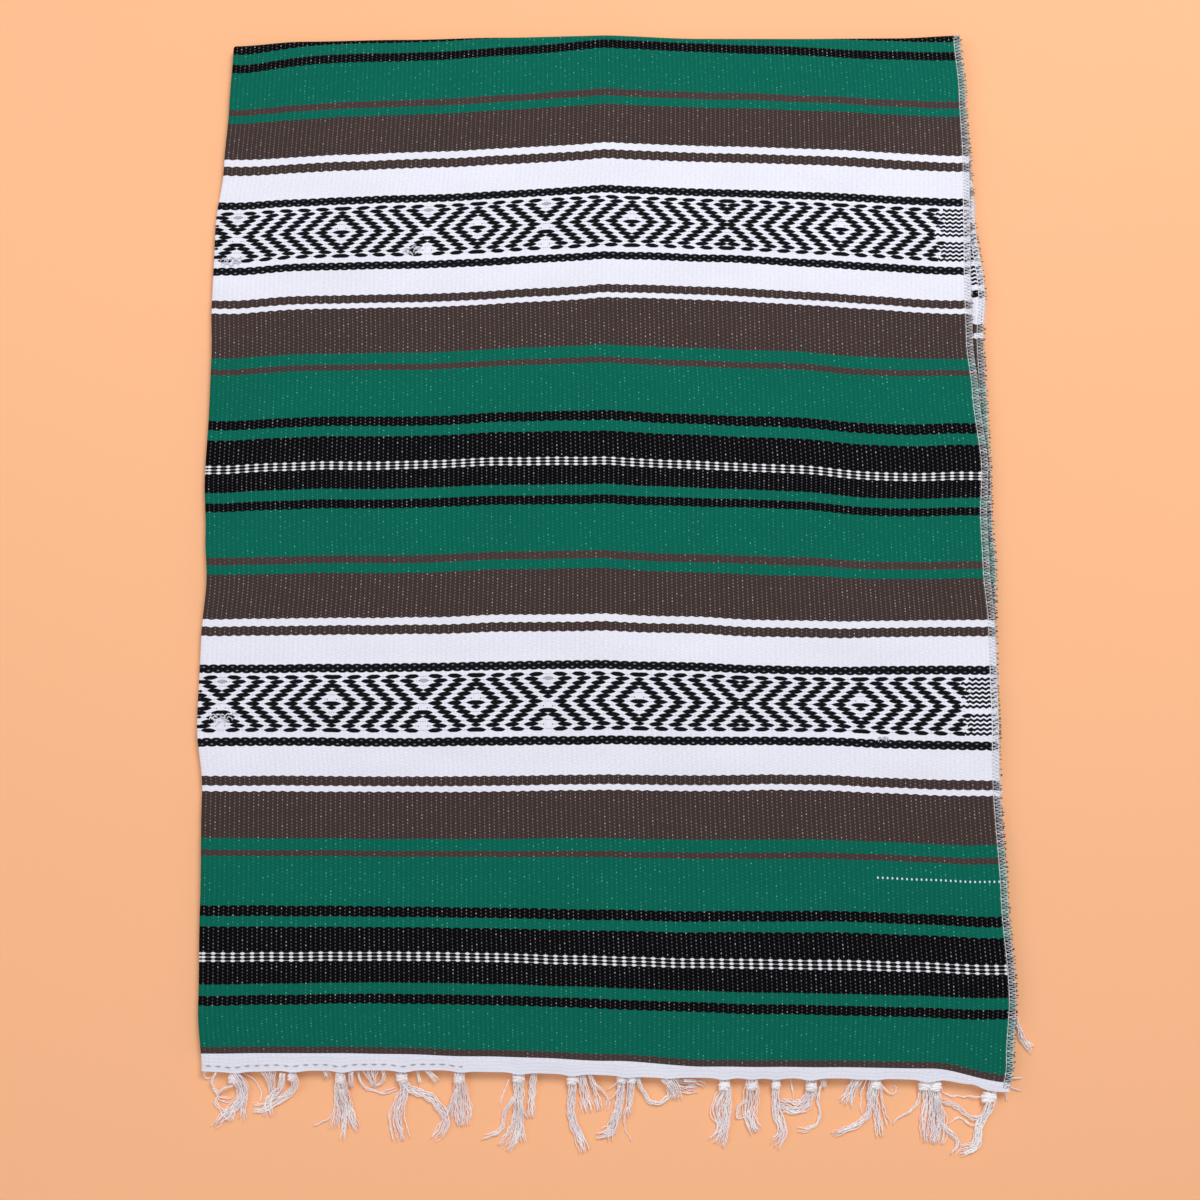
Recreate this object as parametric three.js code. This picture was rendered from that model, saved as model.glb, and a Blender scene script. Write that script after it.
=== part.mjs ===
// A Mexican serape: a striped weft-faced blanket with overlocked long edges, a white woven
// heading and a knotted warp fringe at each end. It lies folded in four: lengthwise first,
// which makes the left edge, then crosswise, which makes the top edge.
// Millimetres. +X runs across to the overlocked edges, +Y up to the crosswise fold, +Z up.

import * as THREE from 'three';

// ---- The cloth and the folded stack ----
const WALL = 2.1; // thickness of the woven cloth
const GAP = 0.3; // clearance between neighbouring solids
const EASE = 2; // clearance between hidden pieces and at the knots
const PITCH = WALL + GAP; // one layer of the stack
const BEND = PITCH / 2 + WALL / 2; // outer radius of the cloth at a lengthwise fold
const FOLD_PUFF = 1.6; // extra height of the stack at the crosswise fold
const PUFF_REACH = 45; // how far from the fold that height dies away
const FOLD_RETURN = 12; // cloth turned under at the lengthwise fold
const SEAM_WIDTH = 7.5; // overlocked edge
const SEAM_CORNER = 0.6; // its rounded corners
const LOWER_INSET = 2; // how far the two lowest cut edges sit inside the top one
const HEADING_PLACE = 985; // how far down the white heading starts, roughly
const SECOND_STRIP = 26; // second layer built as a piece of its own, this far under the top one

// Edges of the folded quarter, by distance below the crosswise fold. `left` is the lengthwise
// fold, `right` the top layer's overlocked edge and `second` the edge of the layer below it.
const SIDES = [
  { down: 0, left: -371, right: 364.5, second: 363 },
  { down: 60, left: -373, right: 368, second: 366 },
  { down: 125, left: -376, right: 369, second: 371 },
  { down: 190, left: -382, right: 367.5, second: 373 },
  { down: 270, left: -382.5, right: 365.5, second: 380 },
  { down: 320, left: -380.5, right: 365.5, second: 376.5 },
  { down: 370, left: -380.5, right: 369, second: 377 },
  { down: 445, left: -382, right: 375, second: 378 },
  { down: 500, left: -379, right: 372, second: 377.5 },
  { down: 545, left: -376, right: 372.5, second: 379 },
  { down: 600, left: -379, right: 375.5, second: 377 },
  { down: 680, left: -379.5, right: 375, second: 376 },
  { down: 745, left: -372, right: 373.5, second: 375 },
  { down: 850, left: -369.5, right: 376.5, second: 376.5 },
  { down: 940, left: -367.5, right: 380.5, second: 379.5 },
  { down: 1000, left: -362, right: 375.5, second: 374.5 },
  { down: 1030, left: -361, right: 371, second: 370 },
];

// Lines across the quarter: height of the crosswise fold, and the distance below it where the
// white heading starts and ends.
const LINES = [
  { across: -371, top: -7, heading: 993.5, hem: 1010 },
  { across: -300, top: -2, heading: 993, hem: 1013 },
  { across: -200, top: 0, heading: 993.5, hem: 1015 },
  { across: -100, top: 2.5, heading: 996, hem: 1014 },
  { across: 5, top: 4.5, heading: 999.5, hem: 1011 },
  { across: 100, top: 1, heading: 1005, hem: 1016.5 },
  { across: 200, top: 1, heading: 1005, hem: 1016 },
  { across: 300, top: 1, heading: 1006.5, hem: 1015 },
  { across: 370, top: 1.5, heading: 1019, hem: 1029 },
];

// Soft ridges that run down the top layer. The first is the packing crease.
const RIDGES = [
  { across: 6, lean: -4, halfWidth: 26, height: 2.2, from: -60, to: 1080 },
  { across: -210, lean: 10, halfWidth: 70, height: 1.2, from: 60, to: 620 },
  { across: 215, lean: -14, halfWidth: 85, height: 1.6, from: 180, to: 1100 },
  { across: -300, lean: 8, halfWidth: 55, height: 1.3, from: 560, to: 1120 },
];

// The fringe: where each knotted lock leaves the hem and where it ends (`drop` is below the
// hem), with its width at the knot and at the loose end. `turn` bends its middle sideways.
const LOCKS = [
  { across: -330, end: -344, drop: 44, knot: 10, loose: 24, turn: 9 },
  { across: -287, end: -304, drop: 32, knot: 9, loose: 11, turn: 7 },
  { across: -235, end: -231, drop: 57, knot: 9, loose: 20, turn: 0 },
  { across: -207, end: -203, drop: 9, knot: 10, loose: 14, turn: 0 },
  { across: -181, end: -180, drop: 57, knot: 10, loose: 15, turn: -2 },
  { across: -164, end: -147, drop: 57, knot: 8, loose: 10, turn: 12 },
  { across: -127, end: -126, drop: 42, knot: 10, loose: 14, turn: 0 },
  { across: -74, end: -81, drop: 64, knot: 10, loose: 18, turn: 0 },
  { across: -60, end: -61, drop: 38, knot: 5, loose: 6, turn: 0 },
  { across: -24, end: -14, drop: 64, knot: 9, loose: 8, turn: -5 },
  { across: -9, end: 4, drop: 28, knot: 8, loose: 12, turn: 0 },
  { across: 18, end: 6, drop: 55, knot: 8, loose: 10, turn: 4 },
  { across: 30, end: 28, drop: 38, knot: 8, loose: 9, turn: 0 },
  { across: 48, end: 66, drop: 18, knot: 7, loose: 12, turn: -4 },
  { across: 113, end: 105, drop: 56, knot: 9, loose: 15, turn: -3 },
  { across: 138, end: 142, drop: 44, knot: 10, loose: 16, turn: -3 },
  { across: 160, end: 158, drop: 56, knot: 8, loose: 12, turn: 4 },
  { across: 192, end: 173, drop: 28, knot: 10, loose: 14, turn: 4 },
  { across: 232, end: 220, drop: 22, knot: 9, loose: 14, turn: 0 },
  { across: 247, end: 222, drop: 42, knot: 6, loose: 7, turn: 9 },
  { across: 256, end: 258, drop: 49, knot: 6, loose: 8, turn: 0 },
  { across: 305, end: 303, drop: 62, knot: 16, loose: 24, turn: -2 },
  { across: 354, end: 331, drop: 42, knot: 9, loose: 9, turn: 11 },
];
const LOCK_HEIGHT = 4; // a lock's thickness where it lies loose
const LOCK_CLEARANCE = 0.2; // height of a lock above the surface it lies on

// A lock of the lowest layer that has slipped out past the overlocked edge.
const SIDE_LOCK = [
  { across: 383, down: 962, width: 6 },
  { across: 388, down: 980, width: 6 },
  { across: 394, down: 992, width: 9 },
];

// ---- Fineness of the solids ----
const ACROSS_STEPS = 24;
const LENGTH_STEPS = 30;
const HIDDEN_ACROSS_STEPS = 10;
const HIDDEN_LENGTH_STEPS = 22;
const HEADING_RINGS = 3;
const FOLD_STEPS = 8;
const BEND_STEPS = 5;
const LOCK_SECTIONS = 6;
const LOCK_SIDES = 8;

const DYES = {
  green: 0x166858,
  brown: 0x4a3f3f,
  white: 0xe6e6f0,
  thread: 0xdcdcdc,
};

const serape = new THREE.Group();

function lerp(a, b, t) {
  return a + (b - a) * t;
}

// Reads one named column of a table between its rows, with a smooth join at each row.
function readTable(table, key, column, at) {
  const last = table.length - 1;
  if (at <= table[0][key]) return table[0][column];
  if (at >= table[last][key]) return table[last][column];
  const i = table.findIndex((row) => row[key] > at) - 1;
  const t = (at - table[i][key]) / (table[i + 1][key] - table[i][key]);
  return lerp(table[i][column], table[i + 1][column], t * t * (3 - 2 * t));
}

const side = (column, down) => readTable(SIDES, 'down', column, down);
const line = (column, across) => readTable(LINES, 'across', column, across);

// How far the stack's two upper layers stand above their flat place, at a point of the plan.
function ridgeHeight(across, down) {
  let height = 0;
  for (const ridge of RIDGES) {
    const middle = ridge.across + ridge.lean * (down / 1000);
    const sideways = Math.abs(across - middle) / ridge.halfWidth;
    const along = (down - ridge.from) / (ridge.to - ridge.from);
    if (sideways >= 1 || along <= 0 || along >= 1) continue;
    const bell = (1 + Math.cos(Math.PI * sideways)) / 2;
    height += ridge.height * bell * Math.sin(Math.PI * along) ** 0.5;
  }
  return height;
}

// The crosswise fold bends the doubled cloth about an axis that runs along X. `offset` is a
// point's height above the middle of the doubled cloth, so +PITCH/2 is the top layer.
function bendPoint(x, down, offset, turn) {
  const puff = FOLD_PUFF * Math.exp(-down / PUFF_REACH);
  const radius = PITCH + puff / 2;
  const centreZ = radius + PITCH / 2 + WALL / 2;
  const outer = PITCH + FOLD_PUFF / 2 + PITCH / 2 + WALL / 2;
  const lift = Math.cos(turn) > 0 ? ridgeHeight(x, down) * Math.cos(turn) : 0;
  return new THREE.Vector3(
    x,
    line('top', x) - outer - down + (radius + offset) * Math.sin(turn),
    centreZ + (radius + offset) * Math.cos(turn) + lift,
  );
}

function stations(count) {
  return Array.from({ length: count + 1 }, (_, i) => i / count);
}

// Faces of a cap, as indices into its ring. A wall's ring runs along one side and back along
// the other, so its cap is a strip between the two.
function stripCap(count) {
  const faces = [];
  for (let i = 0; i < count / 2 - 1; i += 1) {
    faces.push([i, i + 1, count - 2 - i], [i, count - 2 - i, count - 1 - i]);
  }
  return faces;
}

// Joins rings of points into one closed body. A wall is capped by strips, and any other body
// by a fan about the middle of each end ring.
function loft(rings, isWall = false) {
  const count = rings[0].length;
  const points = rings.flat();
  const index = [];
  for (let r = 0; r < rings.length - 1; r += 1) {
    for (let i = 0; i < count; i += 1) {
      const a = r * count + i;
      const b = r * count + ((i + 1) % count);
      index.push(a, b, b + count, a, b + count, a + count);
    }
  }
  const far = (rings.length - 1) * count;
  if (isWall) {
    for (const [a, b, c] of stripCap(count)) index.push(a, c, b, far + a, far + b, far + c);
  } else {
    const near = points.length;
    points.push(middleOf(rings[0]), middleOf(rings[rings.length - 1]));
    for (let i = 0; i < count; i += 1) {
      const next = (i + 1) % count;
      index.push(near, next, i, near + 1, far + i, far + next);
    }
  }
  const geometry = new THREE.BufferGeometry().setFromPoints(points);
  geometry.setIndex(index);
  return faceOutwards(geometry);
}

function middleOf(ring) {
  const sum = ring.reduce((total, p) => total.add(p), new THREE.Vector3());
  return sum.divideScalar(ring.length);
}

// Turns every face round if the body's signed volume shows that they point inwards.
function faceOutwards(geometry) {
  const point = geometry.attributes.position;
  const index = geometry.index.array;
  const [a, b, c] = [new THREE.Vector3(), new THREE.Vector3(), new THREE.Vector3()];
  let volume = 0;
  for (let i = 0; i < index.length; i += 3) {
    a.fromBufferAttribute(point, index[i]);
    b.fromBufferAttribute(point, index[i + 1]);
    c.fromBufferAttribute(point, index[i + 2]);
    volume += a.dot(b.cross(c));
  }
  if (volume < 0) {
    for (let i = 0; i < index.length; i += 3) {
      [index[i], index[i + 1]] = [index[i + 1], index[i]];
    }
  }
  geometry.computeVertexNormals();
  return geometry;
}

function addPiece(name, geometry, color, roughness = 0.95) {
  const material = new THREE.MeshStandardMaterial({ color, roughness, metalness: 0 });
  const mesh = new THREE.Mesh(geometry, material);
  mesh.name = name;
  serape.add(mesh);
}

// The doubled cloth at its lengthwise fold, as the middle line of its wall: the top layer from
// the seam to the fold, the bend, and a short stretch turned under. `part` runs from 0 at the
// fold to 1 at the seam, `shift` is added to it in millimetres, `offset` is the height above
// the middle of the doubled cloth, and `lean` turns the wall's outer side from straight up.
function foldedLine() {
  const radius = PITCH / 2;
  const path = stations(ACROSS_STEPS).map((t) => ({
    part: 1 - t,
    shift: BEND * t,
    offset: radius,
    lean: 0,
  }));
  for (let i = 1; i <= BEND_STEPS; i += 1) {
    const lean = (Math.PI * i) / BEND_STEPS;
    const shift = BEND - radius * Math.sin(lean);
    path.push({ part: 0, shift, offset: radius * Math.cos(lean), lean });
  }
  path.push({ part: 0, shift: FOLD_RETURN, offset: -radius, lean: Math.PI });
  return path;
}

// The wall's closed section: its outer side, then its inner side on the way back.
function foldedSection() {
  const sideOf = (sign) =>
    foldedLine().map((p) => ({
      part: p.part,
      shift: p.shift - (sign * WALL * Math.sin(p.lean)) / 2,
      offset: p.offset + (sign * WALL * Math.cos(p.lean)) / 2,
    }));
  return [...sideOf(1), ...sideOf(-1).reverse()];
}

// Section of an overlocked edge: a flat bar with rounded corners, `offset` from the middle.
function seamSection(offset) {
  const half = WALL / 2;
  const round = SEAM_CORNER;
  return [
    { shift: 0, offset: offset - half },
    { shift: SEAM_WIDTH - round, offset: offset - half },
    { shift: SEAM_WIDTH, offset: offset - half + round },
    { shift: SEAM_WIDTH, offset: offset + half - round },
    { shift: SEAM_WIDTH - round, offset: offset + half },
    { shift: 0, offset: offset + half },
  ];
}

const AXIS_BELOW_TOP = 1.5 * PITCH + FOLD_PUFF / 2 + WALL / 2;

// Distance from the fold's axis to a line across the cloth, at one place across.
function lengthTo(column, x) {
  return line(column, x) + line('top', x) - AXIS_BELOW_TOP;
}

// ---- Top layer: striped cloth and white heading ----
function topX(point, down) {
  const fold = side('left', down);
  const seam = side('right', down) - SEAM_WIDTH - GAP;
  return lerp(fold, seam, point.part) + point.shift;
}

// Distance from the fold's axis to a line across the cloth, for one point of the section.
const topLength = (column, point) => lengthTo(column, topX(point, HEADING_PLACE));

// Places down the cut edges, from the hem up to the fold's axis. They match the ends of the top
// layer's own sections, so that its seam and everything beside it stay an even gap apart.
function seamPlaces() {
  const seam = { part: 1, shift: 0 };
  const heading = topLength('heading', seam);
  const hem = topLength('hem', seam);
  const inHeading = stations(HEADING_RINGS - 1).map((t) => lerp(hem, heading + GAP, t));
  return [...inHeading, ...stations(LENGTH_STEPS).map((t) => heading * (1 - t))];
}

function topPanel() {
  const section = foldedSection();
  const rings = stations(LENGTH_STEPS).map((t) =>
    section.map((point) => {
      const down = topLength('heading', point) * (1 - t);
      return bendPoint(topX(point, down), down, point.offset, 0);
    }),
  );
  for (let i = 1; i <= FOLD_STEPS; i += 1) {
    const turn = (Math.PI * i) / FOLD_STEPS;
    rings.push(section.map((p) => bendPoint(topX(p, 0), 0, p.offset, turn)));
  }
  return loft(rings, true);
}

function topHeading() {
  const section = foldedSection();
  const rings = stations(HEADING_RINGS - 1).map((t) =>
    section.map((point) => {
      const start = topLength('heading', point) + GAP;
      const down = lerp(start, topLength('hem', point), t);
      return bendPoint(topX(point, down), down, point.offset, 0);
    }),
  );
  return loft(rings, true);
}

// ---- Hidden layers: one rounded solid, layered at its edges ----
// Each row is a level of the stack. `cut` is the inset at the cut edges, with a groove between
// the layers, and `fold` the inset at the lengthwise fold, where the two lowest layers join.
const EDGE_ROUND = 0.8;
const GROOVE = 3;
const TURNED_UNDER = FOLD_RETURN + EASE;
const HEADING_CLEARANCE = EASE + 1; // between the hidden cloth and the hidden headings
const LEVELS = [
  { z: 0, cut: EDGE_ROUND, fold: BEND, layer: 4 },
  { z: 0.5, cut: 0.2, fold: 1.1, layer: 4 },
  { z: 1.6, cut: 0.2, fold: 0.3, layer: 4 },
  { z: WALL, cut: EDGE_ROUND, fold: 0.1, layer: 4 },
  { z: WALL + 0.1, cut: GROOVE, fold: 0.1, layer: 4 },
  { z: WALL + 0.2, cut: GROOVE, fold: 0.1, layer: 3 },
  { z: PITCH, cut: EDGE_ROUND, fold: 0.1, layer: 3 },
  { z: PITCH + 0.5, cut: 0.2, fold: 0.3, layer: 3 },
  { z: PITCH + 1.6, cut: 0.2, fold: 1.1, layer: 3 },
  { z: PITCH + WALL, cut: EDGE_ROUND, fold: BEND, layer: 3 },
  { z: PITCH + WALL + 0.1, cut: GROOVE, fold: TURNED_UNDER, layer: 3 },
  { z: PITCH + WALL + 0.2, cut: GROOVE, fold: TURNED_UNDER, layer: 2 },
  { z: 2 * PITCH, cut: EDGE_ROUND, fold: TURNED_UNDER, layer: 2 },
  { z: 2 * PITCH + 0.5, cut: 0.2, fold: TURNED_UNDER, layer: 2 },
  { z: 2 * PITCH + 1.6, cut: 0.2, fold: TURNED_UNDER, layer: 2 },
  { z: 2 * PITCH + WALL, cut: EDGE_ROUND, fold: TURNED_UNDER, layer: 2 },
];

// Walks once round the unit square, so that a ring's points fall on all four edges.
function roundTheEdges(acrossSteps, downSteps) {
  const walk = [];
  for (let i = 0; i < acrossSteps; i += 1) walk.push({ f: i / acrossSteps, d: 0 });
  for (let i = 0; i < downSteps; i += 1) walk.push({ f: 1, d: i / downSteps });
  for (let i = 0; i < acrossSteps; i += 1) walk.push({ f: 1 - i / acrossSteps, d: 1 });
  for (let i = 0; i < downSteps; i += 1) walk.push({ f: 0, d: 1 - i / downSteps });
  return walk;
}

function layeredSolid(from, to, hemInset, seamInset) {
  const isBody = from === 'axis';
  const walk = roundTheEdges(HIDDEN_ACROSS_STEPS, isBody ? HIDDEN_LENGTH_STEPS : 1);
  const rings = LEVELS.map((level) =>
    walk.map(({ f, d }) => {
      const across = (down) =>
        lerp(
          side('left', down) + level.fold,
          side('right', down) - seamInset(level.layer) - level.cut,
          f,
        );
      const guess = across(isBody ? HEADING_PLACE * d : HEADING_PLACE);
      const start = isBody ? EASE : lengthTo(from, guess) + HEADING_CLEARANCE;
      const end = lengthTo(to, guess) - hemInset - (isBody ? 0 : level.cut);
      const down = lerp(start, end, d);
      const x = across(down);
      return new THREE.Vector3(x, line('top', x) - AXIS_BELOW_TOP - down, level.z);
    }),
  );
  return loft(rings, !isBody);
}

const lowerSeamInset = LOWER_INSET + SEAM_WIDTH + EASE;

// ---- Second layer, where it shows past the top one ----
function secondEdge() {
  const low = 2 * PITCH;
  const places = seamPlaces().slice(HEADING_RINGS, -1);
  const rings = places.map((down) => {
    const inner = side('right', down) - SECOND_STRIP + EASE;
    const outer = side('second', down) - SEAM_WIDTH - GAP;
    const y = line('top', outer) - AXIS_BELOW_TOP - down;
    return [
      new THREE.Vector3(inner, y, low),
      new THREE.Vector3(outer, y, low),
      new THREE.Vector3(outer, y, low + WALL),
      new THREE.Vector3(inner, y, low + WALL),
    ];
  });
  return loft(rings);
}

// ---- Overlocked edges ----
function topOverlock() {
  const section = seamSection(PITCH / 2);
  const ringAt = (down, turn) =>
    section.map((p) => {
      const x = side('right', down) - SEAM_WIDTH + p.shift;
      return bendPoint(x, down, p.offset, turn);
    });
  const rings = seamPlaces().map((down) => ringAt(down, 0));
  for (let i = 1; i <= FOLD_STEPS; i += 1) rings.push(ringAt(0, (Math.PI * i) / FOLD_STEPS));
  return loft(rings);
}

function lowerOverlock(column, inset, layersBelow) {
  const section = seamSection(WALL / 2);
  const rings = seamPlaces().slice(1, -1).map((down) =>
    section.map((p) => {
      const x = side(column, down) - inset - SEAM_WIDTH + p.shift;
      const y = line('top', x) - AXIS_BELOW_TOP - down;
      return new THREE.Vector3(x, y, layersBelow * PITCH + p.offset);
    }),
  );
  return loft(rings);
}

// ---- Fringe ----
function ovalRing(centre, along, width, height) {
  const across = new THREE.Vector3(along.y, -along.x, 0).normalize();
  return Array.from({ length: LOCK_SIDES }, (_, i) => {
    const angle = (2 * Math.PI * (i + 0.5)) / LOCK_SIDES;
    const point = centre.clone().addScaledVector(across, (width / 2) * Math.cos(angle));
    point.z += (height / 2) * Math.sin(angle);
    return point;
  });
}

function ovalTube(points, widths, heights) {
  const curve = new THREE.CatmullRomCurve3(points);
  const rings = stations(LOCK_SECTIONS - 1).map((t) => {
    const k = t * (widths.length - 1);
    const i = Math.min(Math.floor(k), widths.length - 2);
    const width = lerp(widths[i], widths[i + 1], k - i);
    const height = lerp(heights[i], heights[i + 1], k - i);
    const centre = curve.getPoint(t);
    centre.z = LOCK_CLEARANCE + height / 2;
    return ovalRing(centre, curve.getTangent(t), width, height);
  });
  return loft(rings);
}

function fringeLock(lock) {
  const hem = line('top', lock.across) - AXIS_BELOW_TOP - lengthTo('hem', lock.across);
  const start = hem - EASE;
  const middle = (lock.across + lock.end) / 2 + lock.turn;
  const points = [
    new THREE.Vector3(lock.across, start, 0),
    new THREE.Vector3(middle, start - lock.drop / 2, 0),
    new THREE.Vector3(lock.end, start - lock.drop, 0),
  ];
  const stack = 4 * PITCH - 2 * LOCK_CLEARANCE;
  return ovalTube(points, [lock.knot, lock.loose, lock.loose * 0.8], [stack, LOCK_HEIGHT, LOCK_HEIGHT]);
}

function sideLock() {
  const points = SIDE_LOCK.map((row) => new THREE.Vector3(row.across, -row.down, 0));
  return ovalTube(points, SIDE_LOCK.map((row) => row.width), [LOCK_HEIGHT, LOCK_HEIGHT, LOCK_HEIGHT]);
}

// ---- The whole serape ----
addPiece('top_panel', topPanel(), DYES.green);
addPiece('top_heading', topHeading(), DYES.white);
const hiddenSeam = (layer) => (layer === 2 ? SECOND_STRIP : lowerSeamInset);
addPiece('hidden_layers', layeredSolid('axis', 'heading', 0, hiddenSeam), DYES.brown);
const headingSeam = () => lowerSeamInset;
addPiece('hidden_headings', layeredSolid('heading', 'hem', LOWER_INSET, headingSeam), DYES.white);
addPiece('second_layer_edge', secondEdge(), DYES.brown);
addPiece('overlock_top', topOverlock(), DYES.thread);
addPiece('overlock_second', lowerOverlock('second', 0, 2), DYES.thread);
addPiece('overlock_third', lowerOverlock('right', LOWER_INSET, 1), DYES.thread);
addPiece('overlock_lowest', lowerOverlock('right', LOWER_INSET, 0), DYES.thread);
LOCKS.forEach((lock, i) => {
  const number = String(i + 1).padStart(2, '0');
  addPiece(`fringe_lock_${number}`, fringeLock(lock), DYES.white);
});
addPiece('side_lock', sideLock(), DYES.white);

// The origin is the middle of the underside of the whole piece's box.
const box = new THREE.Box3().setFromObject(serape);
const centre = box.getCenter(new THREE.Vector3());
serape.position.set(-centre.x, -centre.y, -box.min.z);
serape.updateMatrixWorld(true);

export default serape;
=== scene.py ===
"""A Mexican serape folded in four: striped cloth, overlocked edges, white heading, knotted fringe.

The blanket is one sheet. It is doubled lengthwise, which makes the left edge, and then
crosswise, which makes the top edge. Lengths in the tables are millimetres. `across` runs right
from the middle of the folded piece, and `down` runs from the crosswise fold to the fringe.
"""
import math
import random

import bpy
import numpy as np
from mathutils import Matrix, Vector


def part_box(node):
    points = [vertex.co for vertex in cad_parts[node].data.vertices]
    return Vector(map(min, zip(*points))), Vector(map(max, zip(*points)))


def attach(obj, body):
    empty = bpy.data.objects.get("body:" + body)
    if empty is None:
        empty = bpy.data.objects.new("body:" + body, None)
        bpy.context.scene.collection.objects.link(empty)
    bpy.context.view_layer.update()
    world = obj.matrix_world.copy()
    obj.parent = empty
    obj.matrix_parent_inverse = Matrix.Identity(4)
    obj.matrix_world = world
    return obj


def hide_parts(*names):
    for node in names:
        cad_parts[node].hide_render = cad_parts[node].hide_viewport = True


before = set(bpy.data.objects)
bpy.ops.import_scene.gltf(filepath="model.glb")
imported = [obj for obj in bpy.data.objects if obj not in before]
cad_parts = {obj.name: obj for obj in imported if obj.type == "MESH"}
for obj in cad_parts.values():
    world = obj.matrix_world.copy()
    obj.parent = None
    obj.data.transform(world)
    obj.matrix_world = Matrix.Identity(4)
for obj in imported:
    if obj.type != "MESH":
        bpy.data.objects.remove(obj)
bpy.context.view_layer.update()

MM = 0.001


# ---- Measures ----
def table(names, *rows):
    """Measured places: one array of numbers for each named column."""
    return dict(zip(names.split(), np.array(rows, float).T))


WALL = 2.1  # thickness of the woven cloth
PITCH = WALL + 0.3  # one layer of the stack
BEND = PITCH / 2 + WALL / 2  # outer radius of the cloth at a lengthwise fold
FOLD_PUFF = 1.6  # extra height of the stack at the crosswise fold
PUFF_REACH = 45  # how far from the fold that height dies away
AXIS_BELOW_TOP = 1.5 * PITCH + FOLD_PUFF / 2 + WALL / 2
RAW_EDGE = 0.9  # how far the cloth's own edge lies inside the overlocking
LOWER_INSET = 2  # how far the two lowest cut edges sit inside the top one
NEAR_HEM = 985  # a place near the hem, where the width of the folded piece is first read
FOLD_EDGE = -382.5  # furthest left of the lengthwise fold
TOP_EDGE = 4.5  # highest point of the crosswise fold, above the zero line
SECOND_SLIP = 24  # how far the second layer's stripes have slipped at its seam

RIB = 4.52  # from one warp rib to the next
RIBS = 166  # ribs across the folded width
PICK_PAIR = 3.0  # two picks of the weft
REPEAT = 462.3  # one repeat of the stripes
FIRST_DASHES = -18.0  # where the first line of white dashes lies

SIDES = table(
    "down left right second",
    (0, -371, 364.5, 363), (60, -373, 368, 366), (125, -376, 369, 371),
    (190, -382, 367.5, 373), (270, -382.5, 365.5, 380), (320, -380.5, 365.5, 376.5),
    (370, -380.5, 369, 377), (445, -382, 375, 378), (500, -379, 372, 377.5),
    (545, -376, 372.5, 379), (600, -379, 375.5, 377), (680, -379.5, 375, 376),
    (745, -372, 373.5, 375), (850, -369.5, 376.5, 376.5), (940, -367.5, 380.5, 379.5),
    (1000, -362, 375.5, 374.5), (1030, -361, 371, 370),
)
LINES = table(
    "across top heading",
    (-371, -7, 993.5), (-300, -2, 993), (-200, 0, 993.5), (-100, 2.5, 996), (5, 4.5, 999.5),
    (100, 1, 1005), (200, 1, 1005), (300, 1.5, 1006.5), (370, 4.5, 1019),
)
RIDGES = (  # across, lean, half width, height, from, to
    (6, -4, 26, 2.2, -60, 1080),
    (-210, 10, 70, 1.2, 60, 620),
    (215, -14, 85, 1.6, 180, 1100),
    (-300, 8, 55, 1.3, 560, 1120),
)
# How far the weft bows up at nine places across, beside its height at the fourth mark from the
# left. It comes to a soft peak at the packing crease.
BOW_MARKS = (-357, -286, -191, -95, 3, 95, 191, 286, 342)
CREASE_MARK = 4
BOW = (
    (20, (-13, -3.5, 0, 6, 14, 10, 6.5, 1.5, 0)),
    (125, (-8, -4, 0, 4.5, 10.5, 7, 4.5, -0.5, -4)),
    (280, (-6, -1, 0, 5, 10.5, 8.5, 3, -3, -6.5)),
    (365, (-4.5, -0.5, 0, 4.5, 7.5, 3.5, 0, -6, -5.5)),
    (445, (-4, -0.5, 0, 4, 5, 0, -4, -11, -10.5)),
    (500, (-3.5, -0.5, 0, 3.5, 4.5, 2, -1, -7.5, -6.5)),
    (565, (-2, -0.5, 0, 3, 4, 0, -4, -6, -5)),
    (600, (-1.5, -0.5, 0, 2.5, 3.5, 0.5, -3, -2.5, -2)),
    (755, (0.5, 0.5, 0, 0.5, 2, 1, 1.5, -2, -4)),
    (865, (1, 1, 0, -1, -2.5, -4, -4, -6.5, -9)),
    (945, (-2, -1, 0, -1.5, -4.5, -8, -10, -12, -14)),
    (990, (-1.5, 0, 0, -2.5, -6, -11, -12, -12.5, -14.5)),
)
# The weaver's own unevenness: how far on in the repeat the cloth is, beside an even weave.
DRIFT = table(
    "weft ahead",
    (20, 0), (70, 3.5), (125, 7), (150, 6), (240, 7.5), (290, 11), (312, 10.5), (335, 7.5),
    (365, 5.5), (400, 5), (445, -0.5), (500, 1), (566, -1), (634, -0.5), (774, 1), (842, 1),
    (925, -1), (945, 0.5), (990, 8.5),
)

LOW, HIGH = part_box("top_panel")
SHIFT = np.array((LOW.x - FOLD_EDGE * MM, HIGH.y - TOP_EDGE * MM, 0.0))


def smooth(t):
    t = np.clip(t, 0, 1)
    return t * t * (3 - 2 * t)


def read(rows, key, column, at):
    """One named column between its rows, with a smooth join at each row."""
    keys, values = rows[key], rows[column]
    at = np.clip(at, keys[0], keys[-1])
    i = np.clip(np.searchsorted(keys, at, side="right") - 1, 0, len(keys) - 2)
    t = smooth((at - keys[i]) / (keys[i + 1] - keys[i]))
    return values[i] + (values[i + 1] - values[i]) * t


def rounded(keys, values, at):
    """A smooth curve through the marks."""
    keys, values = np.array(keys, float), np.array(values, float)
    slopes = np.gradient(values, keys)
    at = np.clip(at, keys[0], keys[-1])
    i = np.clip(np.searchsorted(keys, at, side="right") - 1, 0, len(keys) - 2)
    span = keys[i + 1] - keys[i]
    t = (at - keys[i]) / span
    start, end = values[i] + slopes[i] * span * t, values[i + 1] - slopes[i + 1] * span * (1 - t)
    return start + (end - start) * smooth(t)


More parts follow.
